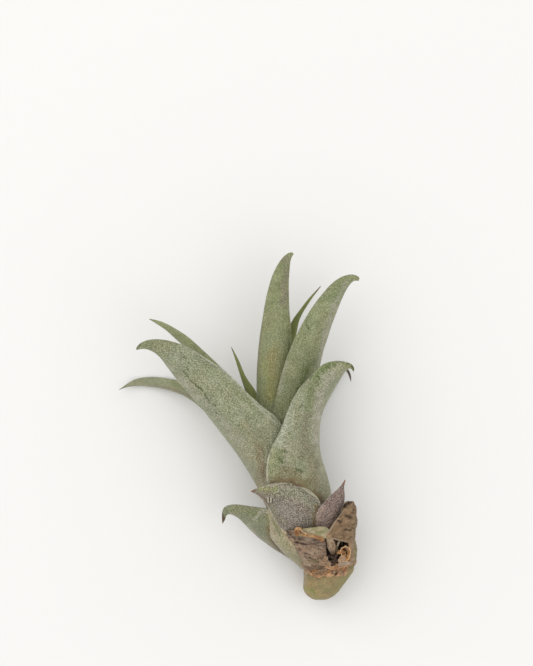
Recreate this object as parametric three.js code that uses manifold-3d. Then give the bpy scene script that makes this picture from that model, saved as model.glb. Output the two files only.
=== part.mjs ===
// A small air plant, picked and lying on a flat surface: a short woody stem with a rounded foot,
// long silvery leaves whose sheaths wrap one another, short basal leaves and dry old sheaths.
//
// Millimetres, +Z up. The surface is z = 0, and the origin is the middle of the plant's footprint.
// The foot lies towards -Y, and the longest leaf reaches towards +Y.
import * as THREE from "three";
import { ParametricGeometry } from "three/addons/geometries/ParametricGeometry.js";
import { mergeVertices } from "three/addons/utils/BufferGeometryUtils.js";
import Module from "manifold-3d";

const wasm = await Module();
wasm.setup();

// ---- driving dimensions --------------------------------------------------------------------
const GAP = 0.3; // room between two leaves that press on one another
const SHEATH = 0.8; // most that a leaf's sheath is thick
const MARGIN = 0.35; // thickness of a leaf at its margin
const BLADE_FROM = 0.2; // share of a leaf's length where the thin sheath starts to turn into blade
const BLADE_OVER = 0.25; // share of its length over which the blade reaches its full thickness
const NARROW = 2.5; // half-width below which a leaf gets thinner towards its tip
const TIP_SHARE = 0.12; // share of its thickness that a leaf keeps where it narrows to nothing
const EDGE_POWER = 2.5; // how abruptly a leaf thins towards its margins
const DEEPEST = 0.8; // most of a section's radius that its thickness may take
const LEAST_RADIUS = 0.25; // of any section, so that a tip keeps a body
const LEAST_REACH = 0.02; // of a leaf's inner face from the middle of its section
const LEAST_SPREAD = 0.5; // radius below which a fattened leaf spreads no further round
const END_STEP = 0.02; // share of a leaf's length that shows which way its end points
const TIP_CROWDING = 1.35; // how much closer the rows lie near the tip than at the base
const WELD = 1e-4; // corners nearer to each other than this are one corner
const STEM_STEP = 0.01; // height on the stem over which its direction is read
const SWEEP_STEPS = 60; // steps round a section in which its outline is found
const FINE_STEPS = 300; // steps along a leaf in which its length is measured
const COLUMNS = 7; // points across a leaf, on each of its two faces
const LONG_ROWS = 15; // points along a long leaf
const SHORT_ROWS = 11; // points along a short leaf or a sheath
const STEM_SIDES = 18;
const CURL_SEGMENTS = 16;

const UP = new THREE.Vector3(0, 0, 1);

// The middle of the stem, foot first, at heights 0, 1, 2 and so on: [x, y, z].
const STEM_LINE = [
  [29.6, -57.9, 8.1], [31.0, -53.5, 9.1], [29.5, -45.3, 11.3], [26.0, -36.4, 13.1], [21.7, -26.8, 15.5],
  [18.2, -16.8, 17.9], [15.0, -6.2, 19.7], [12.6, 5.4, 21.1], [10.5, 14.9, 22.3],
].map((point) => new THREE.Vector3(...point));

// The stem's own rings, from the end of the foot to the growing point:
// [x, y, z, half-width across, half-width up and down].
const STEM_RINGS = [
  [28.9, -61.3, 8.1, 0.3, 0.3], [28.9, -61.1, 8.1, 1.9, 2.0], [28.9, -60.4, 8.3, 3.7, 4.0],
  [29.1, -59.1, 8.6, 5.3, 5.8], [29.4, -57.8, 8.7, 6.3, 6.9], [30.1, -55.8, 8.9, 7.1, 7.7],
  [31.1, -53.3, 9.2, 7.9, 8.6], [32.0, -50.8, 9.6, 8.8, 9.2], [32.2, -48.2, 10.1, 8.8, 9.1],
  [30.9, -45.3, 11.2, 7.2, 7.4],
  [28.1, -40.7, 12.4, 5.8, 5.9], [26.0, -36.4, 13.1, 5.2, 5.2], [21.7, -26.8, 15.5, 4.2, 4.2],
  [18.2, -16.8, 17.9, 3.0, 3.0], [16.4, -10.8, 19.0, 1.4, 1.4],
];

// ---- colours and finishes ------------------------------------------------------------------
const finish = (color, roughness) => new THREE.MeshStandardMaterial({ color, roughness, metalness: 0 });
const SILVER_LEAF = () => finish("#98a287", 0.85);
const YOUNG_LEAF = () => finish("#6f8450", 0.7);
const GREEN_BASE = () => finish("#9aa07c", 0.85);
const PURPLE_BASE = () => finish("#8f8582", 0.9);
const DRY_TAN = () => finish("#9c8264", 0.9);
const DRY_BROWN = () => finish("#7d6350", 0.95);
const DRY_ORANGE = () => finish("#b0713f", 0.85);
const PALE_TISSUE = () => finish("#b9b28a", 0.8);
const STEM_SKIN = () => finish("#8f8b58", 0.6);

// ---- leaves --------------------------------------------------------------------------------
// A leaf is a run of stations from its base to its tip. Each station is a curved section, the part
// of a circle that reaches `wrap` degrees to both sides of its keel. The keel faces `turn` degrees
// round from the section's right side, so 90 faces straight up.
//   sheath, held to the stem:  [height on the stem, turn, radius, wrap]
//   blade:  [left x, left y, right x, right y, keel height, wrap, turn]
// Left and right are the outline's two sides as seen from above.
const LEAVES = [
  { name: "leaf_young_center", skin: YOUNG_LEAF, thick: 0.8, rows: LONG_ROWS, stations: [
    [5, 160, 3.5, 60], [5.6, 160, 3.2, 66], [6.4, 165, 2.8, 70],
    [4.1, 8.1, 8.3, 7.8, 18, 66, 150], [2.1, 13.4, 6, 13, 17, 64, 150],
    [0.6, 18.1, 2.6, 17.8, 16.5, 62, 150], [-1.1, 23.6, 0.2, 23.4, 16.1, 60, 150],
    [-2.6, 28.2, -2.4, 28.2, 15.9, 50, 150]] },
  { name: "leaf_young_right", skin: YOUNG_LEAF, thick: 0.8, rows: LONG_ROWS, stations: [
    [4.6, 20, 4.1, 54], [5.2, 20, 4.4, 56], [6.4, 15, 4.2, 54],
    [11.9, 15.2, 16.1, 13.8, 17, 52, 60], [14.7, 25, 18.5, 23.6, 17, 50, 70],
    [17.1, 33.1, 20.3, 31.7, 17.5, 50, 80], [19.1, 37.8, 21.3, 37.1, 18.5, 48, 85],
    [21.5, 41.1, 23, 40.7, 19.5, 46, 85], [24.7, 45.3, 25.6, 44.8, 20.5, 44, 85],
    [28.8, 49.6, 29, 49.4, 22, 40, 85]] },
  { name: "leaf_left_back", skin: YOUNG_LEAF, thick: 0.9, rows: LONG_ROWS, stations: [
    [4.2, 170, 4.7, 54], [4.9, 170, 5.9, 58], [5.8, 170, 5.9, 56],
    [-0.4, 1.1, 5.5, 6.8, 19.5, 54, 160], [-6, 9.6, -0.1, 14.9, 21, 52, 150],
    [-12, 18, -7.4, 21.2, 22.1, 50, 140], [-16.7, 25, -12.3, 27.1, 22.9, 48, 130],
    [-20, 29.1, -16.8, 31.2, 23.4, 46, 125], [-22.3, 31.1, -20.2, 33.6, 23.7, 44, 120],
    [-25.3, 34, -23.9, 35.8, 23.9, 42, 115], [-28.4, 36.1, -27.5, 37.4, 23.8, 40, 110],
    [-31.2, 37.9, -31.2, 38.1, 23.5, 36, 110]] },
  { name: "leaf_tall_center", skin: SILVER_LEAF, thick: 1.3, rows: LONG_ROWS, stations: [
    [3.7, 100, 5.1, 56], [4.3, 100, 6.8, 64], [5, 100, 7.1, 66], [6, 100, 7.1, 64],
    [6.4, 9, 16.4, 9, 27.5, 62, 100], [6.3, 15.6, 17.4, 16, 28.1, 58, 98],
    [6.5, 23.7, 18.3, 23.7, 28.5, 54, 96], [7.5, 32.4, 18.8, 32.4, 28.5, 52, 95],
    [8.7, 40.1, 18.1, 40.4, 27.9, 50, 94], [10.1, 47.4, 17.8, 47.8, 26.9, 48, 92],
    [12, 53.6, 18, 53.7, 25.7, 45, 90], [14.1, 57.7, 18.2, 57.4, 24.5, 42, 90],
    [16.2, 60.3, 18.6, 59.4, 23.5, 38, 90], [18, 61.5, 19.2, 60.4, 22.9, 34, 90],
    [19.2, 61.3, 19.5, 60.7, 22.6, 30, 90]] },
  { name: "leaf_tall_right", skin: SILVER_LEAF, thick: 1.4, rows: LONG_ROWS, stations: [
    [3.4, 60, 5.4, 54], [3.9, 60, 7.9, 62], [4.6, 60, 8.7, 66], [5.3, 60, 9, 66], [6, 60, 9.1, 64],
    [12.5, 8, 24.7, 6.6, 29.5, 62, 62], [14.3, 16, 27.5, 16.7, 31.5, 58, 64],
    [16.5, 23.7, 29.2, 24.4, 32.9, 55, 66], [19.1, 30.3, 31, 30.3, 33.5, 53, 68],
    [22.1, 36.2, 32.9, 36.4, 33.5, 51, 70], [25.4, 41.8, 35.2, 42.1, 32.9, 48, 72],
    [29.3, 46.9, 37.2, 46.7, 31.5, 46, 74], [33.3, 51.1, 39, 49.8, 29.9, 43, 76],
    [37, 53.2, 40.5, 51.3, 28.5, 40, 78], [39.6, 53.7, 41.4, 51.4, 27.5, 36, 80],
    [41.6, 53.2, 42.1, 51.3, 26.8, 34, 80], [42.5, 52.3, 42.3, 51.5, 26.4, 30, 80]] },
  { name: "leaf_left_low", skin: SILVER_LEAF, thick: 1.1, rows: LONG_ROWS, stations: [
    [3, 188, 5.9, 46], [3.5, 189, 8.4, 52], [4.3, 191, 9.4, 56], [5.2, 195, 9.8, 55],
    [-0.8, -6.1, 4.8, -0.4, 12, 52, 205], [-7.9, 0.9, -3, 6.6, 8.1, 50, 215],
    [-13.7, 6.9, -10.1, 11.8, 5.3, 48, 225], [-19, 10.7, -16.7, 15.2, 3.1, 46, 232],
    [-23.7, 12.3, -22.4, 16.6, 1.7, 44, 238], [-27.4, 13.2, -26.3, 17.2, 0.8, 42, 242],
    [-31, 13.9, -30.1, 17.6, 0.4, 40, 246], [-34.4, 14.3, -33.6, 17.4, 0.5, 38, 250],
    [-37.5, 14.2, -37, 16.7, 1.2, 36, 250], [-40, 13.7, -39.5, 15.2, 2.1, 34, 250],
    [-42.4, 12.9, -42.4, 13, 3.5, 30, 250]] },
  { name: "leaf_right_back", skin: SILVER_LEAF, thick: 1.1, rows: LONG_ROWS, stations: [
    [3, 300, 5.9, 46], [3.5, 301, 8.4, 52], [4.3, 302, 9.8, 54], [5.1, 304, 10.3, 52],
    [16.5, -7.6, 26, -5.8, 7.7, 50, 296], [19, -0.3, 28.2, 0.5, 4.1, 48, 292],
    [22.2, 6.4, 30, 6.1, 1.7, 46, 288], [26.1, 11.4, 32.2, 10.3, 0.5, 44, 284],
    [29.7, 15.7, 34.5, 13.9, 0.3, 42, 280], [32.5, 18.7, 36.2, 16.7, 0.8, 40, 278],
    [35.2, 20.8, 37.3, 18.9, 1.9, 38, 275], [37.6, 21.5, 38.2, 19.7, 3.3, 36, 272],
    [39.2, 19.8, 38.6, 19.1, 4.5, 34, 270], [39.9, 17.9, 39.2, 17.6, 5.3, 32, 270],
    [39.9, 16, 39.7, 15.9, 5.9, 30, 270]] },
  { name: "leaf_left_front", skin: SILVER_LEAF, thick: 1.5, rows: LONG_ROWS, stations: [
    [2.8, 138, 6.1, 48], [3.3, 138, 9.6, 52], [3.9, 137, 11.4, 56], [4.5, 136, 12, 60], [5, 134, 12.5, 62],
    [0, -10.1, 15, 2.1, 31.5, 58, 128], [-5.9, -2.4, 8.4, 7.7, 34.5, 54, 122],
    [-11.8, 5.3, 0.7, 15.1, 36.9, 52, 118], [-17.3, 11.9, -5.5, 21, 38.3, 50, 115],
    [-22.1, 17.7, -12.8, 25.6, 38.7, 48, 112], [-25.4, 22.2, -18.7, 28.9, 38.3, 46, 110],
    [-27.9, 25.3, -24.3, 30.7, 37.3, 44, 108], [-30.9, 27.1, -29.5, 31.1, 35.8, 42, 105],
    [-33.5, 27.5, -33, 30.3, 34.3, 40, 102], [-35, 27.2, -35.1, 28.7, 33.3, 36, 100],
    [-35.4, 27.1, -35.5, 27.7, 32.8, 32, 100]] },
  { name: "leaf_right_front", skin: SILVER_LEAF, thick: 1.5, rows: LONG_ROWS, stations: [
    [2.6, 50, 6.4, 46], [3, 50, 10.2, 54], [18, -35.4, 33.9, -30.1, 26.9, 60, 50],
    [13.2, -29.1, 32.7, -23, 29.9, 68, 50], [9.9, -19.5, 31.2, -16.4, 31.5, 74, 50],
    [9.8, -12.8, 29.6, -11.8, 32.7, 74, 52], [11.1, -7.2, 28.5, -5.8, 34.7, 70, 54],
    [15, 0.3, 28.8, 2.6, 37.3, 66, 56], [17.5, 7.5, 30.7, 8.2, 39.5, 60, 58],
    [21.2, 14.1, 33.5, 13.4, 41.3, 56, 60], [25, 18.1, 35.8, 17.5, 42.1, 52, 62],
    [28.8, 22.2, 37.4, 19.7, 42.3, 48, 66], [33.6, 23.6, 38.2, 20.6, 41.5, 44, 70],
    [37.5, 23.1, 38.8, 20.8, 40.3, 40, 72], [39.5, 22.4, 39.3, 20.6, 39.1, 36, 74],
    [40.3, 21.3, 39.7, 20.1, 38.1, 34, 76], [40.3, 19.9, 40, 19.6, 37.3, 30, 76]] },
  { name: "base_leaf_back", skin: GREEN_BASE, thick: 1, rows: SHORT_ROWS, stations: [
    [2.3, 250, 8.1, 44], [2.7, 252, 10.6, 50], [3.3, 255, 12.1, 54], [4, 258, 12.9, 54],
    [4.6, 260, 13.2, 48], [9, -10.2, 16.1, -8.1, 2.7, 42, 262], [9, -4.9, 11.2, -4.2, 1.1, 34, 262],
    [8.3, -1.4, 8.6, -1.4, 0.9, 30, 262]] },
  { name: "base_leaf_right_back", skin: PURPLE_BASE, thick: 1, rows: SHORT_ROWS, stations: [
    [2.1, 324, 7.8, 52], [2.6, 325, 10.1, 54], [3.2, 326, 12.4, 52],
    [26.4, -33, 38, -28.8, 9.1, 44, 322], [30.2, -30, 37.1, -27, 8.1, 40, 318],
    [32.6, -28, 36.8, -25, 7.9, 34, 316], [34.8, -25.5, 36.6, -24, 8.3, 30, 314],
    [36.2, -23.4, 36.5, -23.2, 8.9, 30, 314]] },
  { name: "base_leaf_left", skin: GREEN_BASE, thick: 1.2, rows: LONG_ROWS, stations: [
    [1.6, 168, 8.3, 44], [18.9, -47.3, 25.3, -43.4, 13.1, 50, 165],
    [15.2, -44.9, 22.1, -39.8, 14.9, 50, 163], [11.7, -42.9, 19.2, -35.2, 16.7, 50, 158],
    [8.2, -40.2, 16.1, -29, 18.7, 50, 150], [4.1, -36.4, 9.6, -28.1, 20.5, 48, 140],
    [1.2, -33.2, 5, -27.6, 21.3, 46, 132], [-1.3, -31.3, 1.2, -27.1, 21.5, 44, 126],
    [-3.1, -30.6, -2.6, -27, 21.3, 42, 120], [-4.2, -31.1, -5, -27.9, 20.8, 40, 115],
    [-4.5, -32.3, -5.7, -29.6, 20.1, 38, 110], [-5, -33.1, -5.8, -31.7, 19.1, 36, 105],
    [-5.5, -33.9, -5.7, -33.6, 18.1, 32, 100]] },
  { name: "base_leaf_green", skin: GREEN_BASE, thick: 1, rows: SHORT_ROWS, stations: [
    [1.95, 128, 9, 36], [2.3, 124, 11.4, 42], [15, -43.1, 25.8, -41, 26.1, 44, 116],
    [11.3, -38.8, 27.9, -37.1, 27.8, 46, 112], [10.3, -33.1, 27.2, -31.7, 29.2, 46, 110],
    [10.4, -28.5, 24.7, -26.1, 30.3, 44, 108], [12.9, -25.4, 20.9, -22.9, 30.7, 40, 106]] },
  { name: "base_leaf_front", skin: PURPLE_BASE, thick: 1.1, rows: LONG_ROWS, stations: [
    [2.2, 100, 9.4, 24], [2.5, 100, 12.8, 30], [17.4, -38.4, 28.6, -37.7, 28.9, 40, 98],
    [12.5, -32.4, 28.7, -31.7, 32.3, 44, 98], [10.4, -27.7, 29, -26, 34.8, 46, 96],
    [8.4, -25.1, 24.7, -21.1, 35.5, 46, 95], [7, -23.7, 17.4, -18.5, 35.7, 44, 95],
    [6.2, -23, 10.8, -19.3, 35.3, 40, 96], [5.2, -22.6, 6.8, -20.6, 34.5, 36, 98],
    [4.4, -22.1, 4.6, -21.8, 33.7, 30, 100]] },
  { name: "base_leaf_purple", skin: PURPLE_BASE, thick: 1, rows: SHORT_ROWS, stations: [
    [2.2, 50, 9.4, 24], [2.55, 50, 13.2, 26], [27.6, -35.7, 34.2, -38.5, 28.5, 34, 62],
    [26.8, -31.4, 35, -33.1, 30.9, 38, 62], [28, -28, 36.2, -29.2, 31.9, 40, 62],
    [30.8, -24.9, 37.2, -25.4, 32.1, 40, 62], [33.3, -22.3, 37.2, -22.6, 31.7, 38, 64],
    [35.4, -20.6, 36.9, -20.6, 31.1, 34, 66], [36.6, -19, 37.3, -19, 30.5, 32, 68],
    [37.3, -18, 37.5, -18.1, 30.1, 30, 70]] },
  { name: "base_leaf_dry", skin: DRY_TAN, thick: 0.8, rows: SHORT_ROWS, stations: [
    [30.2, -38, 39.7, -40.7, 27.6, 44, 38], [30.6, -37, 40.7, -38.6, 28.4, 46, 40],
    [32.2, -34.7, 41.2, -35.7, 29.4, 46, 42], [34.3, -31.6, 41.3, -32.5, 30.3, 46, 42],
    [36.1, -29.3, 41.2, -30, 30.8, 44, 42], [37.2, -27.5, 40.9, -27.9, 30.9, 42, 42],
    [37.7, -26.3, 40.4, -26.5, 30.8, 38, 46], [38.6, -25.5, 39.9, -25.5, 30.5, 34, 50]] },
  { name: "sheath_dry_back", skin: DRY_BROWN, thick: 0.8, rows: SHORT_ROWS, stations: [
    [1.4, 268, 9.6, 46], [1.9, 268, 10.4, 50], [2.4, 266, 11.6, 52], [2.9, 264, 12.8, 48]] },
  { name: "sheath_dry_right", skin: DRY_BROWN, thick: 0.8, rows: SHORT_ROWS, stations: [
    [1.4, 8, 9.9, 52], [34.8, -47.6, 41.4, -46.9, 17.5, 56, 8], [35.2, -44, 41.6, -43.7, 15.2, 54, -11],
    [35.5, -41.2, 41.4, -40.8, 16.9, 54, -11], [35.6, -39, 40.9, -38.6, 18.35, 54, -11]] },
  { name: "sheath_dry_front", skin: DRY_BROWN, thick: 0.8, rows: SHORT_ROWS, stations: [
    [1.5, 104, 10.4, 40], [21.3, -47, 31.8, -47, 24.7, 46, 98],
    [19.5, -42.3, 31.2, -43, 27.9, 46, 98], [17.8, -38.7, 31, -39.4, 30.5, 44, 96],
    [16.9, -35.8, 30.3, -36.9, 32.1, 40, 94]] },
  { name: "sheath_collar", skin: PALE_TISSUE, thick: 0.7, rows: SHORT_ROWS, stations: [
    [21.2, -37.7, 31.3, -38.6, 32.7, 34, 90], [21.6, -35.8, 31.7, -36.5, 33.7, 34, 88],
    [22.6, -34.5, 31.3, -34.9, 34.3, 32, 88], [24.7, -33.8, 29.9, -33.9, 34.5, 28, 88]] },
  { name: "fringe_torn", skin: DRY_ORANGE, thick: 0.7, rows: SHORT_ROWS, stations: [
    [23.1, -52.8, 39.1, -52.6, 19.4, 98, 92], [22.8, -50.6, 40.8, -50.2, 21.1, 98, 92],
    [22.5, -48.4, 41.6, -47.5, 22.5, 96, 92]] },
  { name: "shred_strip", skin: DRY_TAN, thick: 0.6, rows: SHORT_ROWS, stations: [
    [31.4, -44.4, 33.6, -44.8, 21.1, 24, 80], [31.1, -41.8, 33.7, -42.1, 24.9, 30, 80],
    [31.3, -39.2, 33.5, -39.7, 27.9, 30, 80], [32.1, -37.5, 33.3, -37.9, 29.5, 26, 80]] },
  { name: "shred_thin", skin: DRY_TAN, thick: 0.5, rows: SHORT_ROWS, stations: [
    [33.7, -43.7, 34.6, -44.1, 21.1, 24, 70], [34.3, -41.5, 35, -41.8, 24.1, 30, 70],
    [35.1, -39.6, 35.6, -40, 26.5, 26, 70]] },
];

// The curled shred is an open ring of dry tissue that stands on its edge.
const CURL = { middle: [37, -43.4, 25], outer: 2.8, inner: 2.1, tall: 2.6, from: 70, to: 380 };

// ---- geometry ------------------------------------------------------------------------------
const radians = THREE.MathUtils.degToRad;

/** The value of a row of numbers at `t`, where whole numbers are the rows themselves. */
function alongRows(rows, t) {
  const last = rows.length - 1;
  const at = THREE.MathUtils.clamp(t, 0, last);
  const row = Math.min(Math.floor(at), last - 1);
  const before = (k) => (row > 0 ? rows[row - 1][k] : 2 * rows[0][k] - rows[1][k]);
  const after = (k) => (row + 2 <= last ? rows[row + 2][k] : 2 * rows[last][k] - rows[last - 1][k]);
  const f = at - row;
  return rows[row].map((b, k) => {
    const a = before(k);
    const c = rows[row + 1][k];
    const d = after(k);
    const square = 2 * a - 5 * b + 4 * c - d;
    const cube = 3 * b - a - 3 * c + d;
    return 0.5 * (2 * b + (c - a) * f + square * f ** 2 + cube * f ** 3);
  });
}

/** The point on the stem's middle line at a height, and the stem's own right-hand direction there. */
function onStem(height) {
  const line = STEM_LINE.map((p) => p.toArray());
  const here = new THREE.Vector3(...alongRows(line, height));
  const ahead = new THREE.Vector3(...alongRows(line, height + STEM_STEP));
  const behind = new THREE.Vector3(...alongRows(line, height - STEM_STEP));
  const right = ahead.sub(behind).cross(UP).normalize();
  return { here, right };
}

/** One station as [keel x, keel y, keel z, right x, right y, radius, wrap, turn]. */
function section(station) {
  if (station.length === 4) {
    const [height, turn, radius, wrap] = station;
    const { here, right } = onStem(height);
    const out = radius * Math.cos(radians(turn));
    const keel = here.clone().addScaledVector(right, out);
    keel.z += radius * Math.sin(radians(turn));
    return [...keel.toArray(), right.x, right.y, radius, wrap, turn];
  }
  const [leftX, leftY, rightX, rightY, keel, wrap, turn] = station;
  const width = Math.hypot(rightX - leftX, rightY - leftY);
  const right = [(rightX - leftX) / width, (rightY - leftY) / width];
  const stepTurn = (2 * wrap) / SWEEP_STEPS;
  const angles = Array.from({ length: SWEEP_STEPS + 1 }, (_, k) => turn - wrap + k * stepTurn);
  const steps = angles.map((angle) => Math.cos(radians(angle)));
  const nearest = Math.min(...steps);
  const radius = width / (Math.max(...steps) - nearest);
  const out = radius * (Math.cos(radians(turn)) - nearest);
  return [leftX + out * right[0], leftY + out * right[1], keel, ...right, radius, wrap, turn];
}

/** Where along the stations each share of the leaf's length falls, measured along the keel. */
function evenAlongKeel(sections) {
  const marks = [0];
  let from = sections[0];
  for (let k = 1; k <= FINE_STEPS; k += 1) {
    const to = alongRows(sections, (k / FINE_STEPS) * (sections.length - 1));
    marks.push(marks[k - 1] + Math.hypot(to[0] - from[0], to[1] - from[1], to[2] - from[2]));
    from = to;
  }
  return (share) => {
    const length = share * marks[FINE_STEPS];
    const k = Math.max(1, marks.findIndex((mark) => mark >= length));
    const part = (length - marks[k - 1]) / (marks[k] - marks[k - 1]);
    return ((k - 1 + part) / FINE_STEPS) * (sections.length - 1);
  };
}

/** A closed leaf. `grow` makes the same leaf that much fatter all round, and longer at both ends. */
function leafGeometry({ stations, thick, rows }, grow = 0) {
  const sections = stations.map(section);
  const position = evenAlongKeel(sections);
  const sheathThick = Math.min(thick, SHEATH);
  const around = 2 * COLUMNS;
  const extra = grow > 0 ? 1 : 0;
  const stacks = rows - 1 + 2 * extra;
  const keelAt = (share) => new THREE.Vector3(...alongRows(sections, position(share)));
  const pastBase = keelAt(0).sub(keelAt(END_STEP)).setLength(grow);
  const pastTip = keelAt(1).sub(keelAt(1 - END_STEP)).setLength(grow);
  const surface = (u, v, target) => {
    const row = Math.round(v * stacks) - extra;
    const column = Math.round(u * around) % around;
    const outside = column < COLUMNS;
    const across = (outside ? column : around - 1 - column) / (COLUMNS - 1);
    const x = 2 * across - 1;
    const along = THREE.MathUtils.clamp(row / (rows - 1), 0, 1);
    const share = 1 - (1 - along) ** TIP_CROWDING;
    const here = alongRows(sections, position(share));
    const [keelX, keelY, keelZ, rightX, rightY, readRadius, wrap, turn] = here;
    const radius = Math.max(readRadius, LEAST_RADIUS);
    const half = radius * radians(wrap);
    const blade = THREE.MathUtils.clamp((share - BLADE_FROM) / BLADE_OVER, 0, 1);
    const middle = sheathThick + (thick - sheathThick) * blade;
    const taper = Math.min(1, half / NARROW + TIP_SHARE);
    const full = MARGIN + (middle - MARGIN) * (1 - Math.abs(x) ** EDGE_POWER);
    const depth = Math.min(full * taper, DEEPEST * radius);
    const angle = radians(turn) - x * (radians(wrap) + grow / Math.max(radius, LEAST_SPREAD));
    const isEnd = along === 0 || along === 1;
    const midway = radius - depth / 2;
    const outer = (isEnd ? midway : radius) + grow;
    const inner = Math.max((isEnd ? midway : radius - depth) - grow, LEAST_REACH);
    const isBeyond = row < 0 || row > rows - 1;
    const reach = isBeyond ? midway : outside ? outer : inner;
    const flat = reach * Math.cos(angle) - radius * Math.cos(radians(turn));
    const rise = reach * Math.sin(angle) - radius * Math.sin(radians(turn));
    target.set(keelX + flat * rightX, keelY + flat * rightY, keelZ + rise);
    if (row < 0) target.add(pastBase);
    if (row > rows - 1) target.add(pastTip);
  };
  return new ParametricGeometry(surface, around, stacks);
}

/** The stem with its foot: rings that lie across the stem, closed at both ends. */
function stemGeometry(grow = 0) {
  const last = STEM_RINGS.length + 1;
  const surface = (u, v, target) => {
    const row = Math.round(v * last);
    const ring = STEM_RINGS[THREE.MathUtils.clamp(row - 1, 0, STEM_RINGS.length - 1)];
    const [x, y, z, wide, tall] = ring;
    const end = row === 0 || row === last ? 0 : 1;
    const beyond = row === 0 ? -grow : row === last ? grow : 0;
    const angle = -(Math.round(u * STEM_SIDES) % STEM_SIDES) * ((2 * Math.PI) / STEM_SIDES);
    const across = end * (wide + grow) * Math.cos(angle);
    target.set(x + across, y + beyond, z + end * (tall + grow) * Math.sin(angle));
  };
  return new ParametricGeometry(surface, STEM_SIDES, last);
}

/** The curled shred: an open ring, cut from a flat outline and raised. */
function curlGeometry() {
  const { middle, outer, inner, tall, from, to } = CURL;
  const outline = new THREE.Shape();
  outline.absarc(0, 0, outer, radians(from), radians(to), false);
  outline.absarc(0, 0, inner, radians(to), radians(from), true);
  const raised = { depth: tall, bevelEnabled: false, curveSegments: CURL_SEGMENTS };
  return new THREE.ExtrudeGeometry(outline, raised).translate(...middle);
}

/** A closed geometry as a solid: shared corners merged, flat triangles dropped, faces outward. */
function solid(geometry) {
  const bare = geometry.clone();
  bare.deleteAttribute("normal");
  bare.deleteAttribute("uv");
  const merged = mergeVertices(bare, WELD);
  const corners = Array.from(merged.index.array);
  const kept = [];
  for (let k = 0; k < corners.length; k += 3) {
    const [a, b, c] = corners.slice(k, k + 3);
    if (a !== b && b !== c && a !== c) kept.push(a, b, c);
  }
  const make = (triangles) => new wasm.Manifold(new wasm.Mesh({
    numProp: 3,
    vertProperties: new Float32Array(merged.attributes.position.array),
    triVerts: new Uint32Array(triangles),
  }));
  const first = make(kept);
  if (first.volume() > 0) return first;
  const turned = [];
  for (let k = 0; k < kept.length; k += 3) turned.push(kept[k], kept[k + 2], kept[k + 1]);
  return make(turned);
}

/** The largest separate body of a solid. */
function largest(body) {
  return body.decompose().reduce((best, next) => (next.volume() > best.volume() ? next : best));
}

function toGeometry(body) {
  const mesh = body.getMesh();
  const geometry = new THREE.BufferGeometry();
  geometry.setAttribute("position", new THREE.BufferAttribute(new Float32Array(mesh.vertProperties), 3));
  geometry.setIndex(new THREE.BufferAttribute(new Uint32Array(mesh.triVerts), 1));
  geometry.computeVertexNormals();
  return geometry;
}

// ---- the plant -----------------------------------------------------------------------------
const group = new THREE.Group();
const fatBodies = []; // every finished piece, fatter by the gap, to trim the pieces outside it

/** Adds a piece, trimmed clear of all that lie inside it. */
function addPiece(name, skin, body, fatBody) {
  let trimmed = body;
  for (const fat of fatBodies) trimmed = trimmed.subtract(fat);
  const mesh = new THREE.Mesh(toGeometry(largest(trimmed)), skin());
  mesh.name = name;
  group.add(mesh);
  fatBodies.push(fatBody);
}

addPiece("stem", STEM_SKIN, solid(stemGeometry()), solid(stemGeometry(GAP)));
for (const leaf of LEAVES) {
  addPiece(leaf.name, leaf.skin, solid(leafGeometry(leaf)), solid(leafGeometry(leaf, GAP)));
}
const curl = solid(curlGeometry());
addPiece("shred_curl", DRY_ORANGE, curl, curl);

export default group;
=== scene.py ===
import math

import bpy
import numpy as np
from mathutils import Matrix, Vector, noise


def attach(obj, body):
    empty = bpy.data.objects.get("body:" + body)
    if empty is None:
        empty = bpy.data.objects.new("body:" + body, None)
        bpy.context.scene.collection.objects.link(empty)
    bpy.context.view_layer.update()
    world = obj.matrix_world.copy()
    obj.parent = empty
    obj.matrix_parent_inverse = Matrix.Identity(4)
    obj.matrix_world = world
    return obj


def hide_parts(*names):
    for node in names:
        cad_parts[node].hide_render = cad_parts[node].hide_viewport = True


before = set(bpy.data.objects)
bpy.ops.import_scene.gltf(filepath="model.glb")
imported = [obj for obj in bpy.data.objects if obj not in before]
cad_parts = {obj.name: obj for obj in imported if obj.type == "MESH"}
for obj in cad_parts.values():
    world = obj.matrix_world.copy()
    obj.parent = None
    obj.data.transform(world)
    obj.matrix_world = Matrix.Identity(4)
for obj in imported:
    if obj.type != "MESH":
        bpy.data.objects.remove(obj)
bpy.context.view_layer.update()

MM = 0.001  # the plant's own measures below are in millimetres

# ---- driving dimensions, in millimetres ----------------------------------------------------
MARGIN = 0.3  # thickness of a leaf at its margin
SHEATH = 0.8  # most that a leaf's sheath is thick
BLADE_FROM = 0.2  # share of a leaf's length where the thin sheath starts to turn into blade
BLADE_OVER = 0.25  # share of its length over which the blade reaches its full thickness
NARROW = 2.5  # half-width below which a leaf gets thinner towards its tip
TIP_LEFT = 0.12  # share of its thickness that a leaf keeps at its very tip
ROUND_MARGIN = 2.5  # how late a leaf thins out towards its margin, as a power
MOST_OF_RADIUS = 0.8  # a leaf is nowhere thicker than this share of its section's radius
CALM = 2.0  # half-width below which a leaf's waves die away
TIP_CROWDING = 1.35  # how much closer the rows lie near the tip than at the base
FINE_STEPS = 600  # places along a leaf at which its length is measured
EVENINGS = 2  # times that each section is drawn towards its neighbours
ARC_STEPS = 61  # places round a section at which its width is measured
MIN_RADIUS = 0.2  # of a leaf's section
LONG_GRID = (16, 64)  # faces across and along the blank of a long leaf
SHORT_GRID = (20, 36)  # of a basal leaf
DRY_GRID = (44, 44)  # of a wrinkled piece
CREASED_GRID = (64, 60)  # of the front sheath, the most wrinkled

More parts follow.
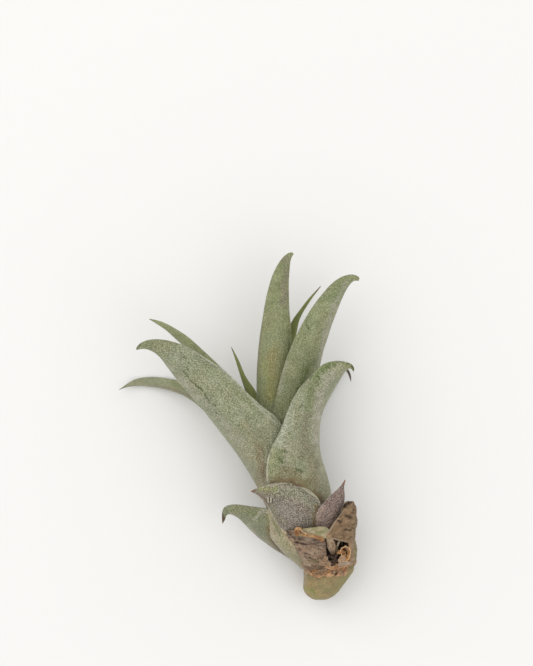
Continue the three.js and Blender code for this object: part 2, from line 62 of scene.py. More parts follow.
# The middle of the stem, foot first, at heights 0, 1, 2 and so on.
STEM_LINE = [(29.6, -57.9, 8.1), (31, -53.5, 9.1), (29.5, -45.3, 11.3), (26, -36.4, 13.1),
    (21.7, -26.8, 15.5), (18.2, -16.8, 17.9), (15, -6.2, 19.7), (12.6, 5.4, 21.1), (10.5, 14.9, 22.3)]

# The stem's own rings, from the end of the foot to the growing point:
# x, y, z, half-width across, half-width up and down.
STEM_RINGS = [(28.9, -61.4, 8.1, 0.6, 0.6), (28.9, -61.3, 8.1, 1.9, 2), (28.9, -60.5, 8.3, 3.9, 4.2),
    (29.1, -59.2, 8.6, 5.5, 6), (29.4, -57.8, 8.7, 6.5, 7.1), (30.1, -55.8, 8.9, 7.2, 7.8),
    (31.1, -53.3, 9.2, 8, 8.7), (32, -50.8, 9.6, 9, 9.3), (32.2, -48.2, 10.1, 8.9, 9.1),
    (30.9, -45.3, 11.2, 7.2, 7.4), (28.1, -40.7, 12.4, 5.8, 5.9), (26, -36.4, 13.1, 5.2, 5.2),
    (21.7, -26.8, 15.5, 4.2, 4.2), (18.2, -16.8, 17.9, 3, 3), (16.4, -10.8, 19, 1.4, 1.4)]

# A leaf is a run of stations from its base to its tip. Each station is a curved section, the part
# of a circle that reaches `wrap` degrees to both sides of its keel. The keel faces `turn` degrees
# round from the section's right side, so 90 faces straight up.
#   sheath, held to the stem:  height on the stem, turn, radius, wrap
#   blade:  left x, left y, right x, right y, keel height, wrap, turn
STATIONS = {
    "leaf_left_front": [(2.8, 138, 6.1, 48), (3.3, 138, 9.6, 52), (3.9, 137, 11.4, 56), (4.5, 136, 12, 60),
        (5, 134, 12.5, 62), (0, -10.1, 15, 2.1, 31.5, 58, 128), (-5.9, -2.4, 8.4, 7.7, 34.5, 54, 122),
        (-11.8, 5.3, 0.7, 15.1, 36.9, 52, 118), (-17.3, 11.9, -5.5, 21, 38.3, 50, 115),
        (-22.1, 17.7, -12.8, 25.6, 38.7, 48, 112), (-25.4, 22.2, -18.7, 28.9, 38.3, 46, 110),
        (-27.9, 25.3, -24.3, 30.7, 37.3, 44, 108), (-30.9, 27.1, -29.5, 31.1, 35.8, 42, 105),
        (-33.5, 27.5, -33, 30.3, 34.3, 40, 102), (-35, 27.2, -35.1, 28.7, 33.3, 36, 100),
        (-35.4, 27.1, -35.5, 27.7, 32.8, 32, 100)],
    "leaf_right_front": [(2.6, 50, 6.4, 46), (3, 50, 10.2, 54), (18, -35.4, 33.9, -30.1, 26.9, 60, 50),
        (13.2, -29.1, 32.7, -23, 29.9, 68, 50), (9.9, -19.5, 31.2, -16.4, 31.5, 74, 50),
        (9.8, -12.8, 29.6, -11.8, 32.7, 74, 52), (11.1, -7.2, 28.5, -5.8, 34.7, 70, 54),
        (15, 0.3, 28.8, 2.6, 37.3, 66, 56), (17.5, 7.5, 30.7, 8.2, 39.5, 60, 58),
        (21.2, 14.1, 33.5, 13.4, 41.3, 56, 60), (25, 18.1, 35.8, 17.5, 42.1, 52, 62),
        (28.8, 22.2, 37.4, 19.7, 42.3, 48, 66), (33.6, 23.6, 38.2, 20.6, 41.5, 44, 70),
        (37.5, 23.1, 38.8, 20.8, 40.3, 40, 72), (39.5, 22.4, 39.3, 20.6, 39.1, 36, 74),
        (40.3, 21.3, 39.7, 20.1, 38.1, 34, 76), (40.3, 19.9, 40, 19.6, 37.3, 30, 76)],
    "leaf_tall_center": [(3.7, 100, 5.1, 56), (4.3, 100, 6.8, 64), (5, 100, 7.1, 66), (6, 100, 7.1, 64),
        (6.4, 9, 16.4, 9, 27.5, 62, 100), (6.3, 15.6, 17.4, 16, 28.1, 58, 98),
        (6.5, 23.7, 18.3, 23.7, 28.5, 54, 96), (7.5, 32.4, 18.8, 32.4, 28.5, 52, 95),
        (8.7, 40.1, 18.1, 40.4, 27.9, 50, 94), (10.1, 47.4, 17.8, 47.8, 26.9, 48, 92),
        (12, 53.6, 18, 53.7, 25.7, 45, 90), (14.1, 57.7, 18.2, 57.4, 24.5, 42, 90),
        (16.2, 60.3, 18.6, 59.4, 23.5, 38, 90), (18, 61.5, 19.2, 60.4, 22.9, 34, 90),
        (19.2, 61.3, 19.5, 60.7, 22.6, 30, 90)],
    "leaf_tall_right": [(3.4, 60, 5.4, 54), (3.9, 60, 7.9, 62), (4.6, 60, 8.7, 66), (5.3, 60, 9, 66),
        (6, 60, 9.1, 64), (12.5, 8, 24.7, 6.6, 29.5, 62, 62), (14.3, 16, 27.5, 16.7, 31.5, 58, 64),
        (16.5, 23.7, 29.2, 24.4, 32.9, 55, 66), (19.1, 30.3, 31, 30.3, 33.5, 53, 68),
        (22.1, 36.2, 32.9, 36.4, 33.5, 51, 70), (25.4, 41.8, 35.2, 42.1, 32.9, 48, 72),
        (29.3, 46.9, 37.2, 46.7, 31.5, 46, 74), (33.3, 51.1, 39, 49.8, 29.9, 43, 76),
        (37, 53.2, 40.5, 51.3, 28.5, 40, 78), (39.6, 53.7, 41.4, 51.4, 27.5, 36, 80),
        (41.6, 53.2, 42.1, 51.3, 26.8, 34, 80), (42.5, 52.3, 42.3, 51.5, 26.4, 30, 80)],
    "leaf_left_low": [(3, 188, 5.9, 46), (3.5, 189, 8.4, 52), (4.3, 191, 9.4, 56), (5.2, 195, 9.8, 55),
        (-0.8, -6.1, 4.8, -0.4, 12, 52, 205), (-7.9, 0.9, -3, 6.6, 8.1, 50, 215),
        (-13.7, 6.9, -10.1, 11.8, 5.3, 48, 225), (-19, 10.7, -16.7, 15.2, 3.1, 46, 232),
        (-23.7, 12.3, -22.4, 16.6, 1.7, 44, 238), (-27.4, 13.2, -26.3, 17.2, 0.8, 42, 242),
        (-31, 13.9, -30.1, 17.6, 0.4, 40, 246), (-34.4, 14.3, -33.6, 17.4, 0.5, 38, 250),
        (-37.5, 14.2, -37, 16.7, 1.2, 36, 250), (-40, 13.7, -39.5, 15.2, 2.1, 34, 250),
        (-42.4, 12.9, -42.4, 13, 3.5, 30, 250)],
    "leaf_right_back": [(3, 300, 5.9, 46), (3.5, 301, 8.4, 52), (4.3, 302, 9.8, 54), (5.1, 304, 10.3, 52),
        (16.5, -7.6, 26, -5.8, 7.7, 50, 296), (19, -0.3, 28.2, 0.5, 4.1, 48, 292),
        (22.2, 6.4, 30, 6.1, 1.7, 46, 288), (26.1, 11.4, 32.2, 10.3, 0.5, 44, 284),
        (29.7, 15.7, 34.5, 13.9, 0.3, 42, 280), (32.5, 18.7, 36.2, 16.7, 0.8, 40, 278),
        (35.2, 20.8, 37.3, 18.9, 1.9, 38, 275), (37.6, 21.5, 38.2, 19.7, 3.3, 36, 272),
        (39.2, 19.8, 38.6, 19.1, 4.5, 34, 270), (39.9, 17.9, 39.2, 17.6, 5.3, 32, 270),
        (39.9, 16, 39.7, 15.9, 5.9, 30, 270)],
    "leaf_left_back": [(4.2, 170, 4.7, 54), (4.9, 170, 5.9, 58), (5.8, 170, 5.9, 56),
        (-0.4, 1.1, 5.5, 6.8, 19.5, 54, 160), (-6, 9.6, -0.1, 14.9, 21, 52, 150),
        (-12, 18, -6.7, 21.8, 22.1, 50, 140), (-16.7, 25, -12.3, 27.1, 22.9, 48, 130),
        (-20, 29.1, -16.8, 31.2, 23.4, 46, 125), (-22.3, 31.1, -20.2, 33.6, 23.7, 44, 120),
        (-25.3, 34, -23.9, 35.8, 23.9, 42, 115), (-28.4, 36.1, -27.5, 37.4, 23.8, 40, 110),
        (-31.2, 37.9, -31.2, 38.1, 23.5, 36, 110)],
    "leaf_young_center": [(5, 160, 3.5, 60), (5.6, 160, 3.2, 66), (6.4, 165, 2.8, 70),
        (4.1, 8.1, 8.3, 7.8, 18, 66, 150), (2.1, 13.4, 6, 13, 17, 64, 150),
        (0.6, 18.1, 2.6, 17.8, 16.5, 62, 150), (-1.1, 23.6, 0.2, 23.4, 16.1, 60, 150),
        (-2.6, 28.2, -2.4, 28.2, 15.9, 50, 150)],
    "leaf_young_right": [(4.6, 20, 4.1, 54), (5.2, 20, 4.4, 56), (6.4, 15, 4.2, 54),
        (11.9, 15.2, 16.1, 13.8, 17, 52, 60), (14.7, 25, 18.5, 23.6, 17, 50, 70),
        (17.1, 33.1, 20.3, 31.7, 17.5, 50, 80), (19.1, 37.8, 21.3, 37.1, 18.5, 48, 85),
        (21.5, 41.1, 23, 40.7, 19.5, 46, 85), (24.7, 45.3, 25.6, 44.8, 20.5, 44, 85),
        (28.8, 49.6, 29, 49.4, 22, 40, 85)],
    "base_leaf_back": [(2.3, 250, 8.1, 44), (2.7, 252, 10.6, 50), (3.3, 255, 12.1, 54), (4, 258, 12.9, 54),
        (4.6, 260, 13.2, 48), (9, -10.2, 16.1, -8.1, 2.7, 42, 262), (9, -4.9, 11.2, -4.2, 1.1, 34, 262),
        (8.3, -1.4, 8.6, -1.4, 0.9, 30, 262)],
    "base_leaf_right_back": [(2.1, 324, 7.8, 52), (2.5, 325, 10.1, 54), (2.9, 325, 12, 51),
        (26.8, -33.6, 37.4, -29.8, 8.6, 42, 322), (28.9, -31, 37.5, -27.4, 8.3, 41, 319),
        (31.3, -28.9, 37.4, -25.7, 8, 38, 317), (33.7, -26.6, 37, -24.1, 8.2, 33, 315),
        (36.1, -23.5, 36.4, -23.2, 8.9, 30, 314)],
    "base_leaf_left": [(1.6, 168, 8.3, 44), (18.9, -47.3, 25.3, -43.4, 13.1, 50, 165),
        (15.2, -44.9, 22.1, -39.8, 14.9, 50, 163), (11.7, -42.9, 19.2, -35.2, 16.7, 50, 158),
        (8.2, -40.2, 16.1, -29, 18.7, 50, 150), (4.1, -36.4, 9.6, -28.1, 20.5, 48, 140),
        (1.2, -33.2, 5, -27.6, 21.3, 46, 132), (-1.3, -31.3, 1.2, -27.1, 21.5, 44, 126),
        (-3.1, -30.6, -2.6, -27, 21.3, 42, 120), (-4.2, -31.1, -5, -27.9, 20.8, 40, 115),
        (-4.5, -32.3, -5.7, -29.6, 20.1, 38, 110), (-5, -33.1, -5.8, -31.7, 19.1, 36, 105),
        (-5.5, -33.9, -5.7, -33.6, 18.1, 32, 100)],
    "base_leaf_green": [(1.95, 128, 9, 36), (2.3, 124, 11.4, 42), (15, -43.1, 25.8, -41, 26.1, 44, 116),
        (11.3, -38.8, 27.9, -37.1, 27.8, 46, 112), (10.3, -33.1, 27.2, -31.7, 29.2, 46, 110),
        (10.4, -28.5, 24.7, -26.1, 30.3, 44, 108), (12.9, -25.4, 20.9, -22.9, 30.7, 40, 106)],
    "base_leaf_front": [(2.2, 100, 9.4, 24), (2.5, 100, 12.8, 30), (17.4, -38.4, 28.6, -37.7, 28.9, 40, 98),
        (12.5, -32.4, 28.7, -31.7, 32.3, 44, 98), (10.4, -27.7, 29, -26, 34.8, 46, 96),
        (8.4, -25.1, 24.7, -21.1, 35.5, 46, 95), (7, -23.7, 17.4, -18.5, 35.7, 44, 95),
        (6.2, -23, 10.8, -19.3, 35.3, 40, 96), (5.2, -22.6, 6.8, -20.6, 34.5, 36, 98),
        (4.4, -22.1, 4.6, -21.8, 33.7, 30, 100)],
    "base_leaf_purple": [(2.2, 50, 9.4, 24), (2.55, 50, 13.2, 26), (27.6, -35.7, 34.2, -38.5, 28.5, 34, 62),
        (26.8, -31.4, 35, -33.1, 30.9, 38, 62), (28, -28, 36.2, -29.2, 31.9, 40, 62),
        (30.8, -24.9, 37.2, -25.4, 32.1, 40, 62), (33.3, -22.3, 37.2, -22.6, 31.7, 38, 64),
        (35.4, -20.6, 36.9, -20.6, 31.1, 34, 66), (36.6, -19, 37.3, -19, 30.5, 32, 68),
        (37.3, -18, 37.5, -18.1, 30.1, 30, 70)],
    "base_leaf_dry": [(30.2, -38, 39.7, -40.7, 27.6, 44, 38), (30.6, -37, 40.7, -38.6, 28.4, 46, 40),
        (32.2, -34.7, 41.2, -35.7, 29.4, 46, 42), (34.3, -31.6, 41.3, -32.5, 30.3, 46, 42),
        (36.1, -29.3, 41.2, -30, 30.8, 44, 42), (37.2, -27.5, 40.9, -27.9, 30.9, 42, 42),
        (37.7, -26.3, 40.4, -26.5, 30.8, 38, 46), (38.6, -25.5, 39.9, -25.5, 30.5, 34, 50)],
    "sheath_dry_back": [(1.4, 268, 9.6, 46), (1.9, 268, 10.4, 50), (2.4, 266, 11.6, 52),
        (2.9, 264, 12.8, 48)],
    "sheath_dry_right": [(1.4, 8, 9.9, 52), (34.8, -47.6, 41.4, -46.9, 17.5, 56, 8),
        (35.2, -44, 41.6, -43.7, 15.2, 54, -11), (35.5, -41.2, 41.4, -40.8, 16.9, 54, -11),
        (35.6, -39, 40.9, -38.6, 18.35, 54, -11)],
    "sheath_dry_front": [(1.5, 99, 10.4, 34), (22.4, -47, 31.8, -47, 24.7, 46, 98),
        (19.9, -42.3, 30.8, -43, 27.9, 46, 98), (17.8, -38.7, 30.4, -39.4, 30.5, 44, 96),
        (16.9, -35.8, 30, -36.9, 32.1, 40, 94)],
    "sheath_collar": [(21.2, -37.7, 31.3, -38.6, 32.7, 34, 90), (21.6, -35.8, 31.7, -36.5, 33.7, 34, 88),
        (22.4, -34.9, 31.5, -35, 34.3, 32, 88), (25.4, -34.5, 30, -34.2, 34.5, 28, 88)],
    "fringe_torn": [(23.1, -52.8, 39.1, -52.6, 19.4, 98, 92), (22.8, -50.6, 40.8, -50.2, 21.1, 98, 92),
        (22.5, -48.4, 41.6, -47.5, 22.5, 96, 92)],
    "shred_strip": [(32.5, -44.6, 33.9, -44.8, 21.9, 24, 80), (31.2, -42, 34.1, -42.3, 25.3, 30, 80),
        (30.8, -39.7, 33.7, -40.2, 27.9, 30, 80), (31, -37.9, 32.8, -38.3, 29.5, 26, 80)],
    "shred_thin": [(33.7, -43.7, 34.6, -44.1, 21.1, 24, 70), (34.3, -41.5, 35, -41.8, 24.1, 30, 70),
        (35.1, -39.6, 35.6, -40, 26.5, 26, 70)]}


# ---- working out a leaf's form -------------------------------------------------------------
def along_rows(rows, at):
    """The rows' values at the places `at`, on a smooth curve through the rows themselves."""
    rows = np.asarray(rows, float)
    last = len(rows) - 1
    at = np.clip(np.atleast_1d(np.asarray(at, float)), 0, last)
    row = np.minimum(at.astype(int), last - 1)
    part = (at - row)[:, None]
    padded = np.vstack([2 * rows[0] - rows[1], rows, 2 * rows[-1] - rows[-2]])
    a, b, c, d = (padded[row + k] for k in range(4))
    return 0.5 * (2 * b + (c - a) * part + (2 * a - 5 * b + 4 * c - d) * part**2
                  + (3 * b - a - 3 * c + d) * part**3)


def on_stem(height):
    """The point on the stem's middle line at a height, and the stem's right-hand direction there."""
    behind, here, ahead = along_rows(STEM_LINE, [height - 0.01, height, height + 0.01])
    right = np.cross(ahead - behind, (0, 0, 1))
    return here, right / np.linalg.norm(right)


def section(station):
    """One station as keel x, y, z, right x, y, radius, wrap, turn."""
    if len(station) == 4:
        height, turn, radius, wrap = station
        here, right = on_stem(height)
        out = radius * math.cos(math.radians(turn))
        rise = radius * math.sin(math.radians(turn))
        return (here[0] + out * right[0], here[1] + out * right[1], here[2] + rise,
                right[0], right[1], radius, wrap, turn)
    left_x, left_y, right_x, right_y, keel, wrap, turn = station
    width = math.hypot(right_x - left_x, right_y - left_y)
    right = ((right_x - left_x) / width, (right_y - left_y) / width)
    swing = np.cos(np.radians(np.linspace(turn - wrap, turn + wrap, ARC_STEPS)))
    radius = width / (swing.max() - swing.min())
    out = radius * (math.cos(math.radians(turn)) - swing.min())
    return (left_x + out * right[0], left_y + out * right[1], keel, *right, radius, wrap, turn)


def leaf_rows(stations, count):
    """A leaf's sections at `count` places from base to tip, evened out a little, and those places."""
    sections = np.array([section(s) for s in stations])
    steps = np.linspace(0, len(sections) - 1, FINE_STEPS)
    fine = along_rows(sections, steps)
    marks = np.r_[0, np.cumsum(np.linalg.norm(np.diff(fine[:, :3], axis=0), axis=1))]
    share = 1 - (1 - np.linspace(0, 1, count)) ** TIP_CROWDING
    rows = along_rows(sections, np.interp(share * marks[-1], marks, steps))
    for _ in range(EVENINGS):
        rows[1:-1] = (rows[:-2] + 2 * rows[1:-1] + rows[2:]) / 4
    return rows, share


# ---- small helpers for modelling -----------------------------------------------------------
def deselect_all():
    """Leaves nothing selected, so the next operator acts only on what it makes."""
    if bpy.context.object and bpy.context.object.mode != "OBJECT":
        bpy.ops.object.mode_set(mode="OBJECT")
    bpy.ops.object.select_all(action="DESELECT")


def pick(piece):
    """Makes one piece the selected and active one."""
    deselect_all()
    piece.select_set(True)
    bpy.context.view_layer.objects.active = piece


def blank_sheet(name, across, along):
    """A flat blank, and where each of its corners lies: 0 to 1 across, and 0 to 1 from base to tip."""
    deselect_all()
    bpy.ops.mesh.primitive_grid_add(x_subdivisions=across, y_subdivisions=along, size=1)
    sheet = bpy.context.object
    sheet.name = name
    sheet.data.name = name
    flat = np.empty(len(sheet.data.vertices) * 3)
    sheet.data.vertices.foreach_get("co", flat)
    return sheet, flat[0::3] + 0.5, flat[1::3] + 0.5


def apply_modifier(piece, kind, **settings):
    """Adds one modifier to a piece and applies it."""
    pick(piece)
    bpy.ops.object.modifier_add(type=kind)
    modifier = piece.modifiers[-1]
    for key, value in settings.items():
        setattr(modifier, key, value)
    bpy.ops.object.modifier_apply(modifier=modifier.name)


def round_off(piece, rounds):
    apply_modifier(piece, "SUBSURF", levels=rounds, render_levels=rounds)


def ripple(points, size, seed):
    """A smooth random value at each point, from -1 to 1, for waves of about `size` millimetres."""
    shift = Vector((seed * 7.3, seed * 3.1, seed * 5.7))
    return np.array([noise.noise(Vector(p) / size + shift) for p in points])


def shape_sheet(sheet, points, thickness, shares=None):
    """Moves a blank's corners to their points and thickens it inwards, each corner by its own share."""
    sheet.data.vertices.foreach_set("co", (points * MM).ravel())
    sheet.data.update()
    group = sheet.vertex_groups.new(name="thickness")
    for index in range(len(points)):
        group.add([index], 1.0 if shares is None else float(shares[index]), "REPLACE")
    apply_modifier(sheet, "SOLIDIFY", thickness=thickness * MM, offset=-1.0,
                   vertex_group="thickness", thickness_vertex_group=0.05, use_rim=True)
    sheet.vertex_groups.clear()
    round_off(sheet, 1)


def finish_piece(piece, material, node):
    """Smooths a piece's shading, dresses it and sets it in the place of its CAD node."""
    pick(piece)
    bpy.ops.object.shade_smooth()
    piece.data.materials.clear()
    piece.data.materials.append(material)
    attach(piece, "root")
    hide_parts(node)


# ---- leaves --------------------------------------------------------------------------------
def leaf(node, material, thick, grid=LONG_GRID, wave=0.12, wave_size=9.0, margin_wave=0.15,
         crumple=None, ragged=None):
    """A leaf from a flat blank: rows laid along its rib, each bent round its section.

    `crumple` gives further relief on its points, and `ragged` steps that tear its ends."""
    seed = 1 + list(STATIONS).index(node)
    sheet, across, along = blank_sheet(node + "_looks", *grid)
    rows, share = leaf_rows(STATIONS[node], grid[1] + 1)
    at = np.rint(along * grid[1]).astype(int)
    keel = rows[at, :3]
    right = rows[at, 3:5] / np.linalg.norm(rows[at, 3:5], axis=1)[:, None]
    radius = np.maximum(rows[at, 5], MIN_RADIUS)
    wrap = np.radians(rows[at, 6])
    turn = np.radians(rows[at, 7])
    x = 2 * across - 1
    angle = turn - x * wrap
    half = radius * wrap
    points = place_points(keel, right, radius, turn, radius, angle)
    bulge = wave * ripple(points, wave_size, seed)
    bulge += margin_wave * np.abs(x) ** 3 * ripple(points, wave_size * 0.6, seed + 11)
    bulge *= np.clip(half / CALM, 0, 1)
    if crumple:
        bulge += crumple(points)
    if ragged:
        keel = keel + ragged(x, along, rows)
    points = place_points(keel, right, radius, turn, radius + bulge, angle)
    blade = np.clip((share[at] - BLADE_FROM) / BLADE_OVER, 0, 1)
    sheath = min(thick, SHEATH)
    middle = sheath + (thick - sheath) * blade
    depth = MARGIN + (middle - MARGIN) * (1 - np.abs(x) ** ROUND_MARGIN)
    depth = np.minimum(depth * np.minimum(1, half / NARROW + TIP_LEFT), MOST_OF_RADIUS * radius)
    shape_sheet(sheet, points, thick, depth / thick)
    finish_piece(sheet, material, node)


def place_points(keel, right, radius, turn, reach, angle):
    """Corners at a reach and an angle round each section's middle."""
    flat = reach * np.cos(angle) - radius * np.cos(turn)
    rise = reach * np.sin(angle) - radius * np.sin(turn)
    return np.column_stack([
        keel[:, 0] + flat * right[:, 0], keel[:, 1] + flat * right[:, 1], keel[:, 2] + rise])


def wrinkles(depth, length, across_stretch, seed):
    """Dry folds that run across a sheath, with finer creases on them."""
    def crumple(points):
        folds = 1 - 2 * np.abs(ripple(points * (1 / across_stretch, 1, 1), length, seed))
        fine = ripple(points, length * 0.35, seed + 3)
        lumps = ripple(points, length * 2.5, seed + 5)
        return depth * (0.5 * folds + 0.3 * fine + 0.7 * lumps)
    return crumple


def torn_ends(base_tear, tip_tear, size, seed, sides=0.0):
    """Pulls a sheath's two ends into an uneven torn line, and its base back by `sides` at the margins."""
    def ragged(x, along, rows):
        way = rows[-1, :3] - rows[0, :3]
        way = way / np.linalg.norm(way)
        place = np.column_stack([x * 6, x * 0, x * 0])
        amount = ripple(place, size, seed) + 0.35 * ripple(place, size * 0.35, seed + 2)
        pull = amount * (base_tear * (1 - along) ** 2 + tip_tear * along**2)
        pull += sides * np.clip((np.abs(x) - 0.3) / 0.7, 0, 1) ** 1.3 * (1 - along)
        return pull[:, None] * way
    return ragged


# ---- stem ----------------------------------------------------------------------------------
def stem_piece(material):
    """The stem, drawn out ring by ring from the end of its foot."""
    deselect_all()
    bpy.ops.mesh.primitive_circle_add(vertices=36, radius=MM, location=(0, 0, 0),
                                      rotation=(math.radians(90), 0, 0))
    stem = bpy.context.object
    stem.name = "stem_looks"
    bpy.ops.object.transform_apply(location=True, rotation=True, scale=True)
    bpy.ops.object.mode_set(mode="EDIT")
    bpy.ops.mesh.select_all(action="SELECT")
    before = (0, 0, 0, 1, 1)
    for ring in STEM_RINGS:
        if ring is not STEM_RINGS[0]:
            bpy.ops.mesh.extrude_region_move()
        growth = (ring[3] / before[3], 1, ring[4] / before[4])
        bpy.ops.transform.resize(value=growth, center_override=tuple(v * MM for v in before[:3]))
        step = tuple((new - old) * MM for new, old in zip(ring[:3], before[:3]))
        bpy.ops.transform.translate(value=step)
        before = ring
    bpy.ops.mesh.edge_face_add()
    bpy.ops.mesh.select_all(action="DESELECT")
    bpy.ops.object.mode_set(mode="OBJECT")
    close_foot(stem)
    round_off(stem, 2)
    dent(stem, 0.22, 4.0, 3)
    dent(stem, 0.06, 1.2, 5)
    finish_piece(stem, material, "stem")


def close_foot(stem):
    """Closes the first ring, at the end of the foot, and turns all faces outward."""
    end = STEM_RINGS[0][1] * MM
    for vertex in stem.data.vertices:
        vertex.select = abs(vertex.co.y - end) < 0.01 * MM
    for edge in stem.data.edges:
        edge.select = all(stem.data.vertices[v].select for v in edge.vertices)
    for face in stem.data.polygons:
        face.select = False
    pick(stem)
    bpy.ops.object.mode_set(mode="EDIT")
    bpy.ops.mesh.select_mode(type="EDGE")
    bpy.ops.mesh.edge_face_add()
    bpy.ops.mesh.select_all(action="SELECT")
    bpy.ops.mesh.normals_make_consistent(inside=False)
    bpy.ops.object.mode_set(mode="OBJECT")


def dent(piece, depth, size, seed):
    """Moves each corner a little along its normal, for an uneven surface."""
    points = np.array([v.co / MM for v in piece.data.vertices])
    amount = ripple(points, size, seed) * depth * MM
    for vertex, step in zip(piece.data.vertices, amount):
        vertex.co += vertex.normal * float(step)
    piece.data.update()


# ---- curls, the rolled rim and torn flakes -------------------------------------------------
CURL_FOOT = 0.5  # radius at the foot of the funnel, as a share of the radius at its rim
CURL_INNER = 0.36  # radius at the ribbon's inner end, as a share of that at its outer end
CURL_LONGER = 1.25  # how much longer than wide the curl is
CURL_FROM, CURL_TO = math.radians(-85), math.radians(330)


def curl_piece(node, material, middle, rim, tall, seed):
    """A ribbon of dry tissue, rolled up into an open funnel with a wavy rim."""
    sheet, across, along = blank_sheet(node + "_curl", 14, 84)
    angle = CURL_TO + (CURL_FROM - CURL_TO) * along
    radius = rim * (1 - (1 - CURL_INNER) * (1 - along) ** 1.2)
    round_it = np.column_stack([radius * np.cos(angle), radius * np.sin(angle), 0.6 * rim * across])
    folds = ripple(round_it, 0.33 * rim, seed)
    lumps = ripple(round_it, 0.8 * rim, seed + 2)
    reach = radius * (CURL_FOOT + (1 - CURL_FOOT) * across**0.8)
    reach = reach + rim * (0.16 * folds * across + 0.14 * lumps)
    height = tall * across * (0.7 + 0.3 * along) * (1 + 0.35 * ripple(round_it, 0.6 * rim, seed + 5))
    points = np.column_stack([
        middle[0] + reach * np.cos(angle), middle[1] + CURL_LONGER * reach * np.sin(angle),
        middle[2] + height])
    shape_sheet(sheet, points, 0.12 * rim)
    finish_piece(sheet, material, node)


# The rolled, torn rim of the collar: x, y, z and half-width of the roll along it.
RIM = [(20.3, -37.2, 31.6, 0.3), (20.1, -36.2, 32.2, 0.45), (20.5, -35.2, 32.9, 0.5),
    (21.3, -34.9, 33.3, 0.42), (21.9, -35.6, 33.5, 0.42), (22.7, -36.5, 33.6, 0.42),
    (24.2, -37.2, 33.5, 0.4), (26.2, -37.7, 33.4, 0.45), (28.2, -38.4, 33.1, 0.55),
    (29.7, -39.3, 32.6, 0.3)]
ROLL_FROM, ROLL_BY = math.radians(-60), math.radians(280)


def rim_piece(material):
    """A torn edge that has rolled itself up as it dried."""
    sheet, across, along = blank_sheet("collar_rim_looks", 14, 72)
    at = along * (len(RIM) - 1)
    path = along_rows(RIM, at)
    ahead = along_rows(RIM, at + 0.05)[:, :3] - along_rows(RIM, at - 0.05)[:, :3]
    side = np.cross(ahead, (0, 0, 1))
    side /= np.linalg.norm(side, axis=1)[:, None]
    angle = ROLL_FROM + across * ROLL_BY
    place = np.column_stack([along * 18, across * 2, along * 0])
    reach = path[:, 3] * (0.75 + 0.4 * across + 0.7 * ripple(place, 1.7, 44))
    points = path[:, :3] + side * (reach * np.cos(angle))[:, None]
    points[:, 2] += reach * np.sin(angle) + 0.25 * ripple(place, 2.5, 46)
    shape_sheet(sheet, points, 0.16)
    finish_piece(sheet, material, "sheath_collar")


# A flake's row: x, y, z of its middle, degrees that it is turned, length, width, how much its sides
# cup up, how much one end lifts.
FRINGE_FLAKES = [(26.6, -50.3, 20.4, -20, 2.4, 1.2, 0.25, 0.5),
    (28.5, -50.4, 20.9, 12, 2.3, 1.1, 0.25, 0.4), (30.3, -50, 21.4, -35, 2.1, 1.2, 0.3, 0.5),
    (31.6, -50.8, 21, 25, 1.9, 1, 0.3, 0.4), (35.6, -50.5, 20.7, -12, 2, 1, 0.25, 0.4),
    (36.4, -51.5, 19.7, 35, 1.7, 0.8, 0.25, 0.4), (36.4, -50, 20.6, 55, 2, 0.8, 0.3, 0.3),
    (27.4, -51.3, 19.8, -8, 1.8, 1, 0.25, 0.3), (29.2, -51.5, 20.2, 15, 1.8, 1, 0.3, 0.4),
    (25.4, -50.7, 19.9, -35, 2, 1, 0.3, 0.4), (33.6, -50.7, 21.2, 30, 1.3, 1.1, 0.1, 0.1)]
FRONT_FLAKES = [(30.3, -46.1, 25.9, 55, 2.8, 1.6, 0.3, 0.6), (31.2, -47.6, 24.4, -15, 2.6, 2, 0.25, 0.4),
    (29.3, -47.6, 24.5, -12, 2.2, 1.5, 0.25, 0.4), (27, -48.7, 23.2, -25, 3.2, 1.5, 0.25, 0.5),
    (25, -49.6, 21.2, -55, 2.6, 1.4, 0.2, 0.4), (29, -49.4, 22.3, 10, 2.2, 1.1, 0.25, 0.4)]
CUP_FLAKES = [(36.3, -45.9, 26.6, 55, 3.2, 2.2, -0.12, 0.3), (35.7, -43.4, 27.2, 10, 2.4, 1.3, -0.2, 0.3),
    (38.6, -45.6, 26.2, 110, 2.4, 1, -0.2, 0.3), (37, -43.7, 26.2, 80, 1.6, 1.2, 0.3, 0.2)]
# The hollow flakes are dark: besides torn tissue, they stand in for the shade of the hollow.
HOLLOW_FLAKES = [(32.8, -45.4, 23.2, -15, 3.4, 1, 0.3, 0.6), (33.5, -46.9, 22.4, 15, 3.2, 1.3, 0.3, 0.5),
    (34.2, -45.2, 23.6, 65, 2.8, 0.8, 0.3, 0.6), (32.6, -48.1, 22.4, 10, 2.6, 1.1, 0.3, 0.4)]


def flakes(node, rows, skins, seed):
    """Small torn flakes on one node's piece, in the skins by turns."""
    for index, row in enumerate(rows):
        flake(node, row, skins[index % len(skins)], seed + 4 * index)


def flake(node, row, material, seed):
    """One torn flake from its row."""
    middle_x, middle_y, middle_z, turn, length, width, cup, lift = row
    sheet, across, along = blank_sheet(node + "_flake", 8, 12)
    x = 2 * across - 1
    y = 2 * along - 1
    place = np.column_stack([x * width, y * length, x * 0])
    narrow = np.sqrt(np.clip(1 - 0.75 * np.abs(y) ** 2.5, 0, 1)) * (1 + 0.45 * ripple(place, 0.7, seed))
    out = 0.5 * width * x * narrow
    forth = 0.5 * length * y * (1 + 0.3 * ripple(place, 0.6, seed + 1))
    rise = cup * width * x**2 + lift * (0.5 + 0.5 * y) ** 2 + 0.3 * width * ripple(place, 0.8, seed + 2)
    cos, sin = math.cos(math.radians(turn)), math.sin(math.radians(turn))
    points = np.column_stack([
        middle_x + forth * cos - out * sin, middle_y + forth * sin + out * cos, middle_z + rise])
    shape_sheet(sheet, points, 0.14)
    finish_piece(sheet, material, node)


